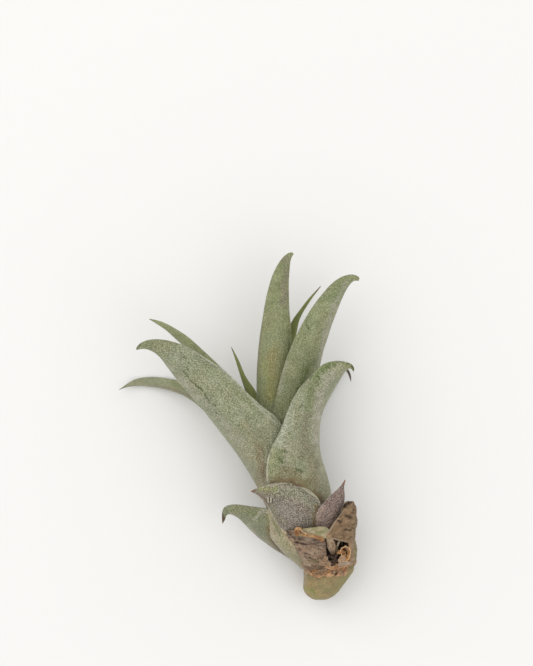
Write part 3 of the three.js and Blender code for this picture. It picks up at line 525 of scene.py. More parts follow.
# ---- material helpers ----------------------------------------------------------------------
class Graph:
    """A shader tree, with short names for the steps that this plant's skins are made of."""

    def __init__(self, tree):
        self.tree = tree

    def feed(self, socket, value):
        """Joins another socket to this one, or sets it to a value. A colour is red, green, blue."""
        if isinstance(value, bpy.types.NodeSocket):
            self.tree.links.new(value, socket)
        elif socket.type == "RGBA":
            socket.default_value = (*value, 1)
        else:
            socket.default_value = value

    def put(self, kind, feeds, **settings):
        """Adds a shader node, sets it, feeds its sockets and gives its outputs."""
        made = self.tree.nodes.new("ShaderNode" + kind)
        for key, value in settings.items():
            setattr(made, key, value)
        for key, value in feeds.items():
            self.feed(made.inputs[key], value)
        return made.outputs

    def use(self, group, **feeds):
        return self.put("Group", feeds, node_tree=group)

    def calc(self, operation, first, second, clamp=False):
        return self.put("Math", {0: first, 1: second}, operation=operation, use_clamp=clamp)[0]

    def plus(self, first, second):
        return self.calc("ADD", first, second)

    def minus(self, first, second):
        return self.calc("SUBTRACT", first, second)

    def times(self, first, second):
        return self.calc("MULTIPLY", first, second)

    def vector(self, operation, first, second, result=0):
        return self.put("VectorMath", {0: first, 1: second}, operation=operation)[result]

    def scaled(self, vector, amount):
        return self.put("VectorMath", {0: vector, "Scale": amount}, operation="SCALE")[0]

    def blend(self, share, first, second, how="MIX"):
        return self.put("Mix", {0: share, 6: first, 7: second}, data_type="RGBA", blend_type=how)[2]

    def tint(self, colour, by):
        return self.blend(1.0, colour, by, "MULTIPLY")

    def ease(self, value, low, high, to_low=0.0, to_high=1.0):
        """Takes a value from one range to another, smoothly and held at both ends."""
        feeds = {0: value, 1: low, 2: high, 3: to_low, 4: to_high}
        return self.put("MapRange", feeds, interpolation_type="SMOOTHSTEP")[0]

    def noise(self, place, scale, detail=2.0, rough=0.5):
        """Cloudy noise: a value, and a colour that serves as a direction."""
        return self.put("TexNoise", {"Vector": place, "Scale": scale, "Detail": detail, "Roughness": rough})

    def cloud(self, *settings):
        return self.noise(*settings)[0]

    def wobble(self, *settings):
        """A small step in an uneven direction."""
        return self.vector("SUBTRACT", self.noise(*settings)[1], (0.5, 0.5, 0.5))

    def split(self, vector):
        return self.put("SeparateXYZ", {0: vector})


def new_group(name, inputs, outputs, kind="Float"):
    """A shader group: its inputs' usual values by name, None for a place, and its outputs, all of a kind."""
    group = Graph(bpy.data.node_groups.new(name, "ShaderNodeTree"))
    for key, usual in inputs.items():
        of = "Vector" if usual is None else "Color" if isinstance(usual, tuple) else "Float"
        socket = group.tree.interface.new_socket(name=key, in_out="INPUT", socket_type="NodeSocket" + of)
        if usual is not None:
            socket.default_value = usual
    for key in outputs:
        group.tree.interface.new_socket(name=key, in_out="OUTPUT", socket_type="NodeSocket" + kind)
    nodes = group.tree.nodes
    return group, nodes.new("NodeGroupInput").outputs, nodes.new("NodeGroupOutput").inputs


# ---- shared effects ------------------------------------------------------------------------
def make_scales():
    """The dusting of tiny pale scales, 0 between them and 1 on them."""
    group, given, out = new_group("scale_dusting", {"Place": None, "Cover": 0.5}, ["Scales"])
    place = given["Place"]
    dots = group.put("TexVoronoi", {"Vector": place, "Scale": 2.5})["Distance"]
    specks = group.cloud(place, 2.3, 2.0, 0.6)
    drift = group.minus(group.cloud(place, 0.22), 0.5)
    level = group.plus(given["Cover"], group.times(drift, 0.5))
    mixed = group.minus(group.plus(specks, group.times(level, 0.5)), group.times(dots, 0.5))
    group.feed(out["Scales"], group.ease(mixed, 0.33, 0.73))
    return group.tree


def make_mark():
    """A mark along a line as seen from above, with an uneven, more or less soft edge."""
    usual = {"Place": None, "Start": None, "End": None, "Width": 0.5, "Inner": 0.3, "Strength": 1.0}
    group, given, out = new_group("drawn_mark", usual, ["Mask"])
    place, start, width = given["Place"], given["Start"], given["Width"]
    off = group.scaled(group.wobble(place, group.calc("DIVIDE", 0.7, width), 3.0), group.times(width, 2.6))
    uneven = group.vector("MULTIPLY", group.vector("ADD", place, off), (1, 1, 0))
    run = group.vector("SUBTRACT", given["End"], start)
    from_start = group.vector("SUBTRACT", uneven, start)
    over = group.vector("DOT_PRODUCT", from_start, run, "Value")
    length = group.vector("DOT_PRODUCT", run, run, "Value")
    share = group.calc("DIVIDE", over, group.plus(length, 0.0001), clamp=True)
    away = group.vector("DISTANCE", from_start, group.scaled(run, share), "Value")
    fade = group.ease(away, group.times(width, given["Inner"]), width, 1.0, 0.0)
    group.feed(out["Mask"], group.times(fade, given["Strength"]))
    return group.tree


def make_mottle():
    """Slow changes of a colour over a surface: here warmer, there cooler, lighter or darker."""
    usual = {"Colour": (0.5, 0.5, 0.5, 1), "Place": None, "Scale": 0.12, "Amount": 0.5}
    group, given, out = new_group("slow_mottle", usual, ["Colour"], "Color")
    colour, place, scale = given["Colour"], given["Place"], given["Scale"]
    warm = group.tint(colour, (1.06, 0.99, 0.90))
    cool = group.tint(colour, (0.95, 1.01, 1.03))
    varied = group.blend(group.ease(group.cloud(place, scale), 0.35, 0.65), cool, warm)
    shade = group.ease(group.cloud(place, group.times(scale, 2.7), 3.0), 0.3, 0.7, 0.84, 1.14)
    varied = group.tint(varied, group.put("CombineColor", {0: shade, 1: shade, 2: shade})[0])
    group.feed(out["Colour"], group.blend(given["Amount"], colour, varied))
    return group.tree


def make_dry_grain():
    """The fine creases, blotches and specks of dead tissue."""
    group, given, out = new_group(
        "dry_grain", {"Place": None, "Lines": None}, ["Creases", "Blotches", "Specks"])
    place = given["Place"]
    bend = group.vector("MULTIPLY", group.wobble(place, 0.35), (2, 2, 2))
    bent = group.vector("ADD", given["Lines"], bend)
    group.feed(out["Creases"], group.cloud(bent, 1.5, 5.0, 0.7))
    group.feed(out["Blotches"], group.cloud(place, 0.45, 3.0, 0.6))
    group.feed(out["Specks"], group.cloud(place, 1.9, 4.0, 0.7))
    return group.tree


SCALES = make_scales()
MARK = make_mark()
MOTTLE = make_mottle()
DRY_GRAIN = make_dry_grain()

# Paints for the marks on the plant, named for what they show. Some marks in them are painted shade or painted
# highlight.
DARK_GREEN = (0.06, 0.078, 0.02)
GREEN = (0.16, 0.2, 0.068)
YELLOW_GREEN = (0.262, 0.282, 0.095)
OLIVE = (0.215, 0.2, 0.085)
OLIVE_BROWN = (0.18, 0.15, 0.07)
BROWN = (0.15, 0.1, 0.05)
WARM_BROWN = (0.265, 0.2, 0.12)
DARK_BROWN = (0.045, 0.027, 0.015)
OCHRE = (0.29, 0.215, 0.07)
LAVENDER = (0.362, 0.34, 0.272)
MAUVE = (0.215, 0.178, 0.14)
BLUISH = (0.405, 0.415, 0.325)
PINK_TAN = (0.4, 0.305, 0.215)
CREAM = (0.56, 0.52, 0.39)
RIM_GREEN = (0.4, 0.4, 0.26)
SAGE = (0.262, 0.272, 0.18)
RUST = (0.23, 0.085, 0.035)
ORANGE = (0.5, 0.25, 0.08)


# ---- materials -----------------------------------------------------------------------------
CRISP = 0.8  # half-width below which a mark has a crisp edge
SCALE_SHELTER = 0.45  # how much of a scuff the scales hide
MARGIN_BAND = 0.06  # width of a leaf's coloured margin, as a share of the leaf's width
LINE_FADE = 1.5  # height over which the crisp lines fade in, to both sides
TIP_FADE = 0.03  # share of a leaf's length over which the colour of its tip comes in


def strokes(marks):
    """Takes marks apart into single strokes.

    A mark is a paint and its rows. A row is the points x, y, x, y and so on that the mark runs
    through, then its half-width and its strength."""
    return [(paint, (*points[at:at + 2], 0), (*points[at + 2:at + 4], 0), width, strength)
            for paint, *rows in marks for *points, width, strength in rows
            for at in range(0, len(points) - 2, 2)]


class Skin(Graph):
    """A material, with its place in millimetres and its leaf's own map: across, and from base to tip."""

    def __init__(self, name):
        self.material = bpy.data.materials.new(name)
        self.material.use_nodes = True
        super().__init__(self.material.node_tree)
        self.shader = self.tree.nodes["Principled BSDF"].inputs
        coordinates = self.put("TexCoord", {})
        self.map = coordinates["UV"]
        self.place = self.stretched(coordinates["Object"], 1 / MM, 1 / MM, 1 / MM)

    def stretched(self, vector, *by):
        return self.put("Mapping", {"Vector": vector, "Scale": by})[0]

    def edged(self, colour, paint, strength):
        """Brings a paint in at both margins of a leaf."""
        from_middle = self.calc("ABSOLUTE", self.minus(self.split(self.map)[0], 0.5), 0.0)
        return self.blend(self.times(self.ease(from_middle, 0.5 - MARGIN_BAND, 0.5), strength), colour, paint)

    def marked(self, colour, marks, under=None):
        """Lays single strokes on a colour in their order. Where `under` is 1, they hardly show."""
        for paint, start, end, width, strength in marks:
            inner = 0.4 if width < CRISP else 0.05
            mask = self.use(MARK, Place=self.place, Start=start, End=end, Width=width, Inner=inner,
                            Strength=strength)[0]
            if under is not None:
                mask = self.times(mask, self.minus(1.0, self.times(under, SCALE_SHELTER)))
            colour = self.blend(mask, colour, paint)
        return colour

    def finished(self, colour, roughness, height, strength, distance, gloss):
        """Joins colour, roughness and relief to the shader. The relief is in millimetres at full strength."""
        self.feed(self.shader["Base Color"], colour)
        self.feed(self.shader["Roughness"], roughness)
        self.shader["Specular IOR Level"].default_value = gloss
        raised = self.put("Bump", {"Height": height, "Strength": strength, "Distance": distance * MM})[0]
        self.feed(self.shader["Normal"], raised)
        return self.material


def living_leaf(name, tone, tones=(), scuffs=(), lines=(), cover=0.5, contrast=1.0,
                bare=(0.55, 0.59, 0.45), dust=0.055, margin=LAVENDER, margin_strength=0.45,
                base=OLIVE_BROWN, base_strength=0.3, tip=BROWN, tip_from=0.97, lines_above=None):
    """Living leaf skin: a tone with soft stains and, on some leaves, painted shade, broken up by a dusting of
    pale scales.

    Where `lines_above` is given, the crisp lines show only above that height."""
    skin = Skin(name)
    from_base = skin.split(skin.map)[1]
    scales = skin.use(SCALES, Place=skin.place, Cover=cover)[0]
    colour = skin.use(MOTTLE, Colour=tone, Place=skin.place, Amount=0.4)[0]
    colour = skin.blend(skin.times(skin.ease(from_base, 0.5, 0.1), base_strength), colour, base)
    colour = skin.marked(colour, strokes(tones))
    colour = skin.edged(colour, margin, margin_strength)
    streaks = skin.cloud(skin.stretched(skin.map, 18.0, 2.0, 1.0), 2.0, 3.0, 0.6)
    between = skin.tint(colour, bare)
    between = skin.blend(skin.ease(streaks, 0.45, 0.75, 0.0, 0.5), between, colour)
    pale = skin.blend(1.0, skin.tint(colour, (1.22, 1.2, 1.2)), (dust, dust, dust), "ADD")
    share = skin.plus(skin.times(skin.minus(scales, 0.5), contrast), 0.5)
    colour = skin.marked(skin.blend(share, between, pale), strokes(scuffs), scales)
    lined = skin.marked(colour, strokes(lines))
    if lines_above is not None:
        high = skin.ease(skin.split(skin.place)[2], lines_above - LINE_FADE, lines_above + LINE_FADE)
        lined = skin.blend(high, colour, lined)
    colour = skin.blend(skin.ease(from_base, tip_from, min(1.0, tip_from + TIP_FADE)), lined, tip)
    skin.shader["Sheen Weight"].default_value = 0.2
    skin.shader["Sheen Roughness"].default_value = 0.4
    skin.shader["Sheen Tint"].default_value = (0.9, 0.9, 0.86, 1)
    height = skin.plus(scales, skin.times(streaks, 0.8))
    return skin.finished(colour, skin.ease(scales, 0, 1, 0.55, 0.8), height, 0.6, 0.12, 0.3)


def dry_leaf(name, lines, light, mid, dark, specks=0.5, crease=0.8, marks=(), margin=None,
             margin_strength=0.7):
    """Dead leaf tissue: creased, blotched, with dark specks, and painted light on its creases: lighter
    on their crests, darker in their furrows. `lines` is how fine the creases are across the leaf
    and along it."""
    skin = Skin(name)
    grain = skin.use(DRY_GRAIN, Place=skin.place, Lines=skin.stretched(skin.map, *lines, 1.0))
    creases = grain["Creases"]
    marks = strokes(marks)
    colour = skin.blend(skin.ease(grain["Blotches"], 0.36, 0.64), mid, light)
    colour = skin.marked(colour, [mark for mark in marks if mark[3] >= CRISP])
    # Painted light on the relief: lighter where the creases stand highest, darker down in them.
    bright = skin.tint(colour, (1.55, 1.5, 1.45))
    colour = skin.blend(skin.ease(creases, 0.52, 0.66, 0.0, 0.75), colour, bright)
    colour = skin.blend(skin.ease(creases, 0.49, 0.36, 0.0, crease), colour, dark)
    colour = skin.blend(skin.ease(grain["Specks"], 0.56, 0.68, 0.0, specks), colour, dark)
    if margin is not None:
        colour = skin.edged(colour, margin, margin_strength)
    colour = skin.marked(colour, [mark for mark in marks if mark[3] < CRISP])
    height = skin.plus(creases, skin.times(grain["Specks"], 0.4))
    return skin.finished(colour, skin.ease(creases, 0.3, 0.7, 0.85, 0.6), height, 1.0, 0.6, 0.3)


def stem_skin():
    """Smooth olive skin, mottled, browner towards the torn sheaths, with painted near-black shade under them.
    """
    skin = Skin("stem_skin")
    tone = skin.use(MOTTLE, Colour=(0.288, 0.218, 0.106), Place=skin.place, Scale=0.16, Amount=0.8)[0]
    fine = skin.cloud(skin.place, 1.9, 4.0, 0.68)
    marks = [(YELLOW_GREEN, (24.5, -57.5, 27.5, -60, 2.4, 0.4)),
        (PINK_TAN, (23.6, -51, 23.6, -56, 0.9, 0.5)), (OLIVE, (39.5, -50.5, 34, -59, 2.8, 0.65)),
        (GREEN, (25.5, -57.2, 27, -58.6, 0.9, 0.45), (29, -56.5, 30.5, -57.5, 0.9, 0.25)),
        (OCHRE, (30.5, -59.5, 35, -57.5, 1.6, 0.3))]
    colour = skin.marked(tone, strokes(marks))
    deep = skin.tint(colour, (0.77, 0.74, 0.68))
    bright = skin.tint(colour, (1.18, 1.23, 1.21))
    colour = skin.blend(skin.ease(fine, 0.40, 0.62, 0.15, 0.85), deep, bright)
    _, y, z = skin.split(skin.place)
    under = skin.ease(y, -49.4, -47.6)
    colour = skin.blend(under, colour, BROWN)
    # Painted shade: near-black on the stem's upper side under the sheaths.
    colour = skin.blend(skin.times(under, skin.ease(z, 11.0, 15.0)), colour, (0.03, 0.018, 0.011))
    return skin.finished(colour, skin.ease(fine, 0.3, 0.7, 0.5, 0.68), fine, 0.6, 0.2, 0.35)


# ---- the stage, in metres ------------------------------------------------------------------
MM_PER_PIXEL = 0.35  # at the height of the middle of the plant
FRAME_HIGH = 666  # pixels
SENSOR = 36.0  # width of the camera's sensor, in millimetres
EYE = (9.9, 33.1, 1499.5)  # where the camera hangs, in millimetres
MIDDLE_HEIGHT = 24.5  # height of the middle of the plant, in millimetres
FLOOR_SIZE = 6.0
FLOOR_COLOUR = (0.845, 0.84, 0.83)
SKY_COLOUR = (1.0, 0.995, 0.985)
SKY_STRENGTH = 0.85
# Each lamp's name, place, size, power and colour.
LAMPS = [("key", (-0.7, 0.7, 1.4), 1.6, 8.0, (1.0, 0.99, 0.97)),
         ("fill", (0.8, -0.5, 1.4), 1.8, 4.6, (0.98, 0.99, 1.0))]


def camera():
    """A long lens that looks straight down."""
    lens_data = bpy.data.cameras.new("camera")
    lens_data.sensor_width = SENSOR
    lens_data.lens = SENSOR * (EYE[2] - MIDDLE_HEIGHT) / (FRAME_HIGH * MM_PER_PIXEL)
    lens_data.clip_end = 20
    eye = bpy.data.objects.new("camera", lens_data)
    eye.location = Vector(EYE) * MM
    bpy.context.scene.collection.objects.link(eye)
    bpy.context.scene.camera = eye


def floor():
    """The pale surface that the plant lies on."""
    deselect_all()
    bpy.ops.mesh.primitive_plane_add(size=FLOOR_SIZE, location=(0, 0, 0))
    ground = bpy.context.object
    ground.name = "floor"
    skin = Skin("pale_floor")
    skin.shader["Base Color"].default_value = (*FLOOR_COLOUR, 1)
    skin.shader["Roughness"].default_value = 0.9
    skin.shader["Specular IOR Level"].default_value = 0.1
    ground.data.materials.append(skin.material)


def lamps():
    """Large soft lamps that face the plant, and a pale sky."""
    for name, place, size, power, colour in LAMPS:
        lamp_data = bpy.data.lights.new(name, "AREA")
        lamp_data.shape = "DISK"
        lamp_data.size = size
        lamp_data.energy = power
        lamp_data.color = colour
        lamp = bpy.data.objects.new(name, lamp_data)
        lamp.location = place
        lamp.rotation_euler = (Vector((0, 0, 0)) - Vector(place)).to_track_quat("-Z", "Y").to_euler()
        bpy.context.scene.collection.objects.link(lamp)
    world = bpy.data.worlds.new("daylight")
    world.use_nodes = True
    background = world.node_tree.nodes["Background"]
    background.inputs[0].default_value = (*SKY_COLOUR, 1)
    background.inputs[1].default_value = SKY_STRENGTH
    bpy.context.scene.world = world
    bpy.context.scene.view_settings.view_transform = "Standard"


# ---- the plant -----------------------------------------------------------------------------
def left_front_skin():
    """Silvery, with a broken dark scuff down its middle, and brown where it goes under."""
    return living_leaf(
        "leaf_left_front_skin", (0.286, 0.295, 0.196), base=WARM_BROWN, margin=BLUISH, margin_strength=0.65,
        tip=DARK_GREEN,
        tones=[(LAVENDER, (-24.5, 22.5, -19.5, 17, 1.8, 0.5), (-19.5, 17, -7, 4.5, 2, -6, 2.2, 0.55),
            (-27, 28, -21.5, 26, 2, 0.2)), (GREEN, (-10, 20.5, 6.5, 6.5, 2.4, 0.3)),
            (OLIVE_BROWN, (3.5, 2.5, 8.5, -6, 3.2, 0.28)), (YELLOW_GREEN, (1.5, 2, 5, -4, 2.4, 0.15)),
            (PINK_TAN, (1.5, 2, 5, -4, 2.4, 0.2)), (WARM_BROWN, (7, -7, 8.2, -18.5, 2.8, 0.7)),
            (BROWN, (8.6, -7, 9, -17, 1, 0.35)), (OLIVE_BROWN, (-35, 29.5, -24, 29.5, 3.4, 0.3)),
            (GREEN, (-35, 29, -24, 29, 3.4, 0.25)), (MAUVE, (-17.5, 28.8, -8, 21.5, 0.9, 0.3))],
        scuffs=[(DARK_GREEN, (-18.8, 19.7, -17.2, 17.7, 0.5, 0.85), (-16.6, 17, -15.4, 15.6, 0.42, 0.75),
            (-14.8, 15.3, -12.4, 13.1, 0.6, 0.95), (-11.4, 11.8, -10.6, 10.2, 0.45, 0.8),
            (-10.3, 9.6, -9.9, 8.7, 0.4, 0.75), (-19.8, 26.4, -19.5, 26.1, 0.4, 0.9),
            (-18.6, 24.7, -18.2, 24.4, 0.4, 0.9), (-17.2, 22.8, -16.8, 22.3, 0.4, 0.9),
            (-17.6, 20.6, -17.2, 20.2, 0.4, 0.8), (-8.6, 8.4, -7.9, 7.8, 0.45, 0.8),
            (-35.4, 27.5, -33.8, 29.4, 0.6, 0.7), (-7.6, 5.5, -7.5, 5.1, 0.4, 0.75),
            (-6.3, 2.9, -6.2, 2.6, 0.35, 0.75)), (BROWN, (8.6, -14.5, 8.9, -16, 0.45, 0.6)),
            (DARK_GREEN, (-3, 7.5, -2.6, 7.1, 0.35, 0.6))],
        lines=[(BLUISH, (5.5, 8.8, 12.8, 2, 0.6, 0.55), (-15, 27, -9, 22.6, 0.45, 0.6)),
            (DARK_BROWN, (0.5, 1, 0.6, 0.9, 0.3, 0.8))])


def right_front_skin():
    """Silvery, green along its hooked tip, scuffed, and with painted brown shade above the purple leaf."""
    return living_leaf(
        "leaf_right_front_skin", (0.293, 0.297, 0.2), tip=DARK_GREEN,
        tones=[(GREEN, (26.3, 17.5, 28.8, 21.2, 2.8, 0.75), (28.8, 21.2, 33.2, 22.8, 2, 0.8)),
            (YELLOW_GREEN, (36.5, 22.8, 39.6, 20.5, 1.4, 0.6)), (BLUISH, (18.5, 6.5, 14.3, -3.5, 3, 0.95)),
            (GREEN, (25.5, 15, 24, 6, 2, 0.5)), (OLIVE_BROWN, (23.6, 4, 22.6, -10, 2.6, 0.45)),
            (MAUVE, (23.6, 4, 22.6, -10, 2.4, 0.35)), (OLIVE, (20.5, 8, 20, 0, 1.5, 0.4)),
            (LAVENDER, (32.8, 19, 28.6, 12, 1.8, 0.85), (28.6, 12, 27, 4, 27.3, -6, 2, 0.95),
            (16.5, -5, 17.5, -14, 1.8, 0.4)), (YELLOW_GREEN, (12.3, -8.5, 12.4, -16, 2.8, 0.4)),
            (GREEN, (14.5, -7.5, 14, -12.5, 1.6, 0.45)), (MAUVE, (25.5, -8, 28.3, -21, 3.2, 0.5)),
            # The olive-brown tone at the end of the next line and the brown tones after it are painted shade
            # above the purple leaf's rim.
            (OLIVE, (25, -8, 27, -21, 3.2, 0.35)), (OLIVE_BROWN, (15, -15.5, 25, -18, 4.2, 0.8)),
            (BROWN, (11.5, -18.9, 14.5, -18.2, 1.3, 0.7), (14.5, -18.2, 18.5, -18, 1.4, 0.8),
            (18.5, -18, 23.2, -20.6, 1.7, 0.85), (23.2, -20.6, 29.2, -25, 1.9, 0.85))],
        scuffs=[(DARK_GREEN, (15.8, -7.6, 16.6, -8.5, 0.7, 0.8), (14.3, -10.2, 14.6, -11.3, 0.5, 0.8),
            (15.2, -11.2, 15.4, -12.3, 0.5, 0.7), (20.3, -14.2, 22.2, -15.1, 0.6, 0.9),
            (22, 8.2, 21.4, 7.1, 0.5, 0.8), (27.8, 18, 28.4, 17, 0.5, 0.8),
            (29.3, 20.1, 29.6, 19.4, 0.5, 0.8), (31, 21.5, 31.7, 21.1, 0.5, 0.7),
            (33, 22.2, 33.6, 21.9, 0.5, 0.7), (27.1, 15.9, 27.7, 15.2, 0.5, 0.7),
            (35.2, 23.2, 36.4, 23, 0.45, 0.6), (39.3, 21.8, 40.2, 20.4, 0.6, 0.9),
            (12.6, -12.5, 13, -13.4, 0.4, 0.6), (18.4, -9, 18.8, -9.6, 0.35, 0.5),
            (26.5, 20, 27, 20.6, 0.5, 0.7), (30.2, 23, 31.4, 23.2, 0.45, 0.7),
            (28.3, 22, 29, 22.4, 0.45, 0.7), (33.8, 23.6, 35, 23.4, 0.4, 0.7),
            (25, 17.4, 25.6, 18.2, 0.45, 0.7), (26, 13.6, 26.6, 12.9, 0.4, 0.6),
            (37.6, 22.6, 38.8, 22.4, 0.5, 0.8))],
        # The olive-brown, brown and dark-brown lines are painted shade above the purple leaf's rim; the cream
        # line is the leaf's margin.
        lines=[(OLIVE_BROWN, (11.8, -18.2, 18.5, -17.4, 23.8, -19.8, 1.8, 0.5),
            (23.8, -19.8, 29.8, -24.6, 1.8, 0.45)), (CREAM, (10.7, -9.5, 9.9, -14, 10, -18.6, 0.45, 0.7)),
            (BROWN, (11.5, -19, 18.5, -18.4, 0.75, 0.65),
            (18.5, -18.4, 23.4, -21, 29.6, -25.6, 0.79, 0.75)),
            (DARK_BROWN, (13.5, -19.1, 18.6, -18.8, 0.5, 0.3),
            (18.6, -18.8, 23.4, -21.4, 29.4, -26, 0.5, 0.35))])


def tall_center_skin():
    """Greener, with an ochre tinge low down, a mauve tint at its right margin and painted shade lower along
    that margin, beside the leaf that overlaps it.
    """
    return living_leaf(
        "leaf_tall_center_skin", (0.268, 0.28, 0.15), cover=0.46, contrast=0.8, base=YELLOW_GREEN,
        base_strength=0.2, tip=OLIVE,
        tones=[(MAUVE, (17, 58.5, 15.8, 43, 2.6, 0.6)), (GREEN, (15.5, 57, 12, 42, 2.4, 0.42)),
            (OCHRE, (12.2, 27, 11.6, 11, 3, 0.42)), (YELLOW_GREEN, (9.5, 22, 12.5, 10, 3, 0.5)),
            # This green tone is painted shade beside the leaf that overlaps this one.
            (GREEN, (18.2, 34, 16.5, 19, 1.6, 0.5))],
        lines=[(OCHRE, (12, 22, 11.6, 11, 0.9, 0.18)), (MAUVE, (8.6, 42, 6.6, 17, 0.5, 0.5)),
            # This dark-green line is painted shade beside the leaf that overlaps this one.
            (DARK_GREEN, (18, 30, 17, 19, 0.5, 0.4))])


def tall_right_skin():
    """Greener, with pale bluish margins and painted shade beside the leaf that lies over it."""
    return living_leaf(
        "leaf_tall_right_skin", (0.262, 0.277, 0.155), cover=0.48, contrast=0.85, base=OLIVE, tip=OLIVE,
        tones=[(GREEN, (36.5, 51.5, 30, 44, 2.6, 0.45)), (LAVENDER, (37.5, 50.5, 33.5, 42, 1.5, 0.7),
            (33.5, 42, 30.5, 33, 28.6, 23.5, 1.8, 0.75), (17, 22.8, 14, 12, 1.4, 0.6)),
            # The first two green rows are painted shade beside the leaf that lies over this one; the third is
            # its own colour.
            (GREEN, (24.8, 22.5, 22, 14, 2.2, 0.6), (22, 14, 19, 8, 2, 0.6),
            (25.5, 41, 21.5, 30, 2.4, 0.3)), (OLIVE, (29, 40, 27, 30, 1.2, 0.35))],
        scuffs=[(DARK_GREEN, (24, 35.8, 24.5, 34.6, 0.5, 0.85)),
            (OLIVE, (41.6, 52.5, 42.6, 51.5, 0.6, 0.8))],
        # These dark-green lines are painted shade beside the leaf that lies over this one.
        lines=[(DARK_GREEN, (24, 20, 21.5, 13, 0.7, 0.3), (21.5, 13, 18, 7, 0.7, 0.35))])


def long_leaves():
    """The nine long leaves, from the front ones to the young ones in the crown."""
    low = living_leaf(
        "leaf_left_low_skin", (0.29, 0.295, 0.187), cover=0.55, contrast=0.5, tip=DARK_GREEN,
        tones=[(MAUVE, (-39.5, 13.6, -26, 14, 0.8, 0.6), (-26, 14, -17, 10.6, 0.9, 0.6)),
            (GREEN, (-24, 15.5, -18, 14, 1.6, 0.5))])
    right_back = living_leaf(
        "leaf_right_back_skin", (0.27, 0.275, 0.18), tip_from=0.86, tip=(0.085, 0.06, 0.045))
    left_back = living_leaf(
        "leaf_left_back_skin", (0.292, 0.308, 0.165), cover=0.45, contrast=0.6, margin=GREEN,
        margin_strength=0.7, tip=DARK_GREEN)
    young = living_leaf(
        "leaf_young_skin", (0.24, 0.268, 0.082), cover=0.35, contrast=0.4, margin=DARK_GREEN,
        margin_strength=0.35, base_strength=0, tip_from=0.9)
    leaf("leaf_left_front", left_front_skin(), 1.5)
    leaf("leaf_right_front", right_front_skin(), 1.5)
    leaf("leaf_tall_center", tall_center_skin(), 1.3)
    leaf("leaf_tall_right", tall_right_skin(), 1.4)
    leaf("leaf_left_low", low, 1.1)
    leaf("leaf_right_back", right_back, 1.1)
    leaf("leaf_left_back", left_back, 0.9, margin_wave=0.0)
    leaf("leaf_young_center", young, 0.8)
    leaf("leaf_young_right", young, 0.8)


def base_front_skin():
    """Purple-grey under dense scales, with a green shoulder, a pale rim, a small scar and painted shade along
    its right edge.
    """
    return living_leaf(
        "base_leaf_front_skin", (0.232, 0.196, 0.156), bare=(0.46, 0.45, 0.39), dust=0.085, margin=CREAM,
        margin_strength=0.6, base=MAUVE, base_strength=0.4, tip=RUST, tip_from=0.93,
        tones=[(SAGE, (9.8, -26, 12.5, -30.5, 2.2, 0.6), (12, -22, 20, -22, 2.8, 0.85),
            (20, -22, 26.5, -27, 2.4, 0.8)), (YELLOW_GREEN, (7.5, -21.6, 13.5, -21.2, 1.4, 0.75)),
            (OLIVE_BROWN, (9, -22.7, 13, -22.9, 1.3, 0.6), (11.5, -27.5, 13, -32.5, 2.2, 0.5)),
            # The olive-brown row at the end of the next line is painted shade along the right edge.
            (BROWN, (7.5, -23.6, 10.5, -26.2, 1.3, 0.85)), (OLIVE_BROWN, (26.9, -27, 26.2, -34, 1.3, 0.9))],
        lines=[(PINK_TAN, (7, -23.3, 10.3, -27.2, 0.35, 0.7)),
            (CREAM, (10.45, -24.2, 10.5, -25.7, 0.35, 0.8)),
            (DARK_BROWN, (10.85, -24.3, 10.9, -25.6, 0.3, 0.95)),
            (CREAM, (11.4, -24.3, 11.45, -25.6, 0.35, 0.8)),
            (DARK_BROWN, (11.9, -24.6, 11.9, -25.8, 0.25, 0.9)),
            # The brown row at the start of the next line is painted shade along the right edge.
            (BROWN, (27.5, -27.3, 26.4, -33.8, 0.75, 0.85)), (RIM_GREEN, (6.5, -21, 10.5, -19.9, 0.4, 0.4),
            (10.5, -19.9, 17.6, -18.9, 0.4, 0.6), (17.6, -18.9, 20.4, -19.3, 0.42, 0.65),
            (20.4, -19.3, 25.7, -22.9, 29.3, -25.6, 0.45, 0.7))])


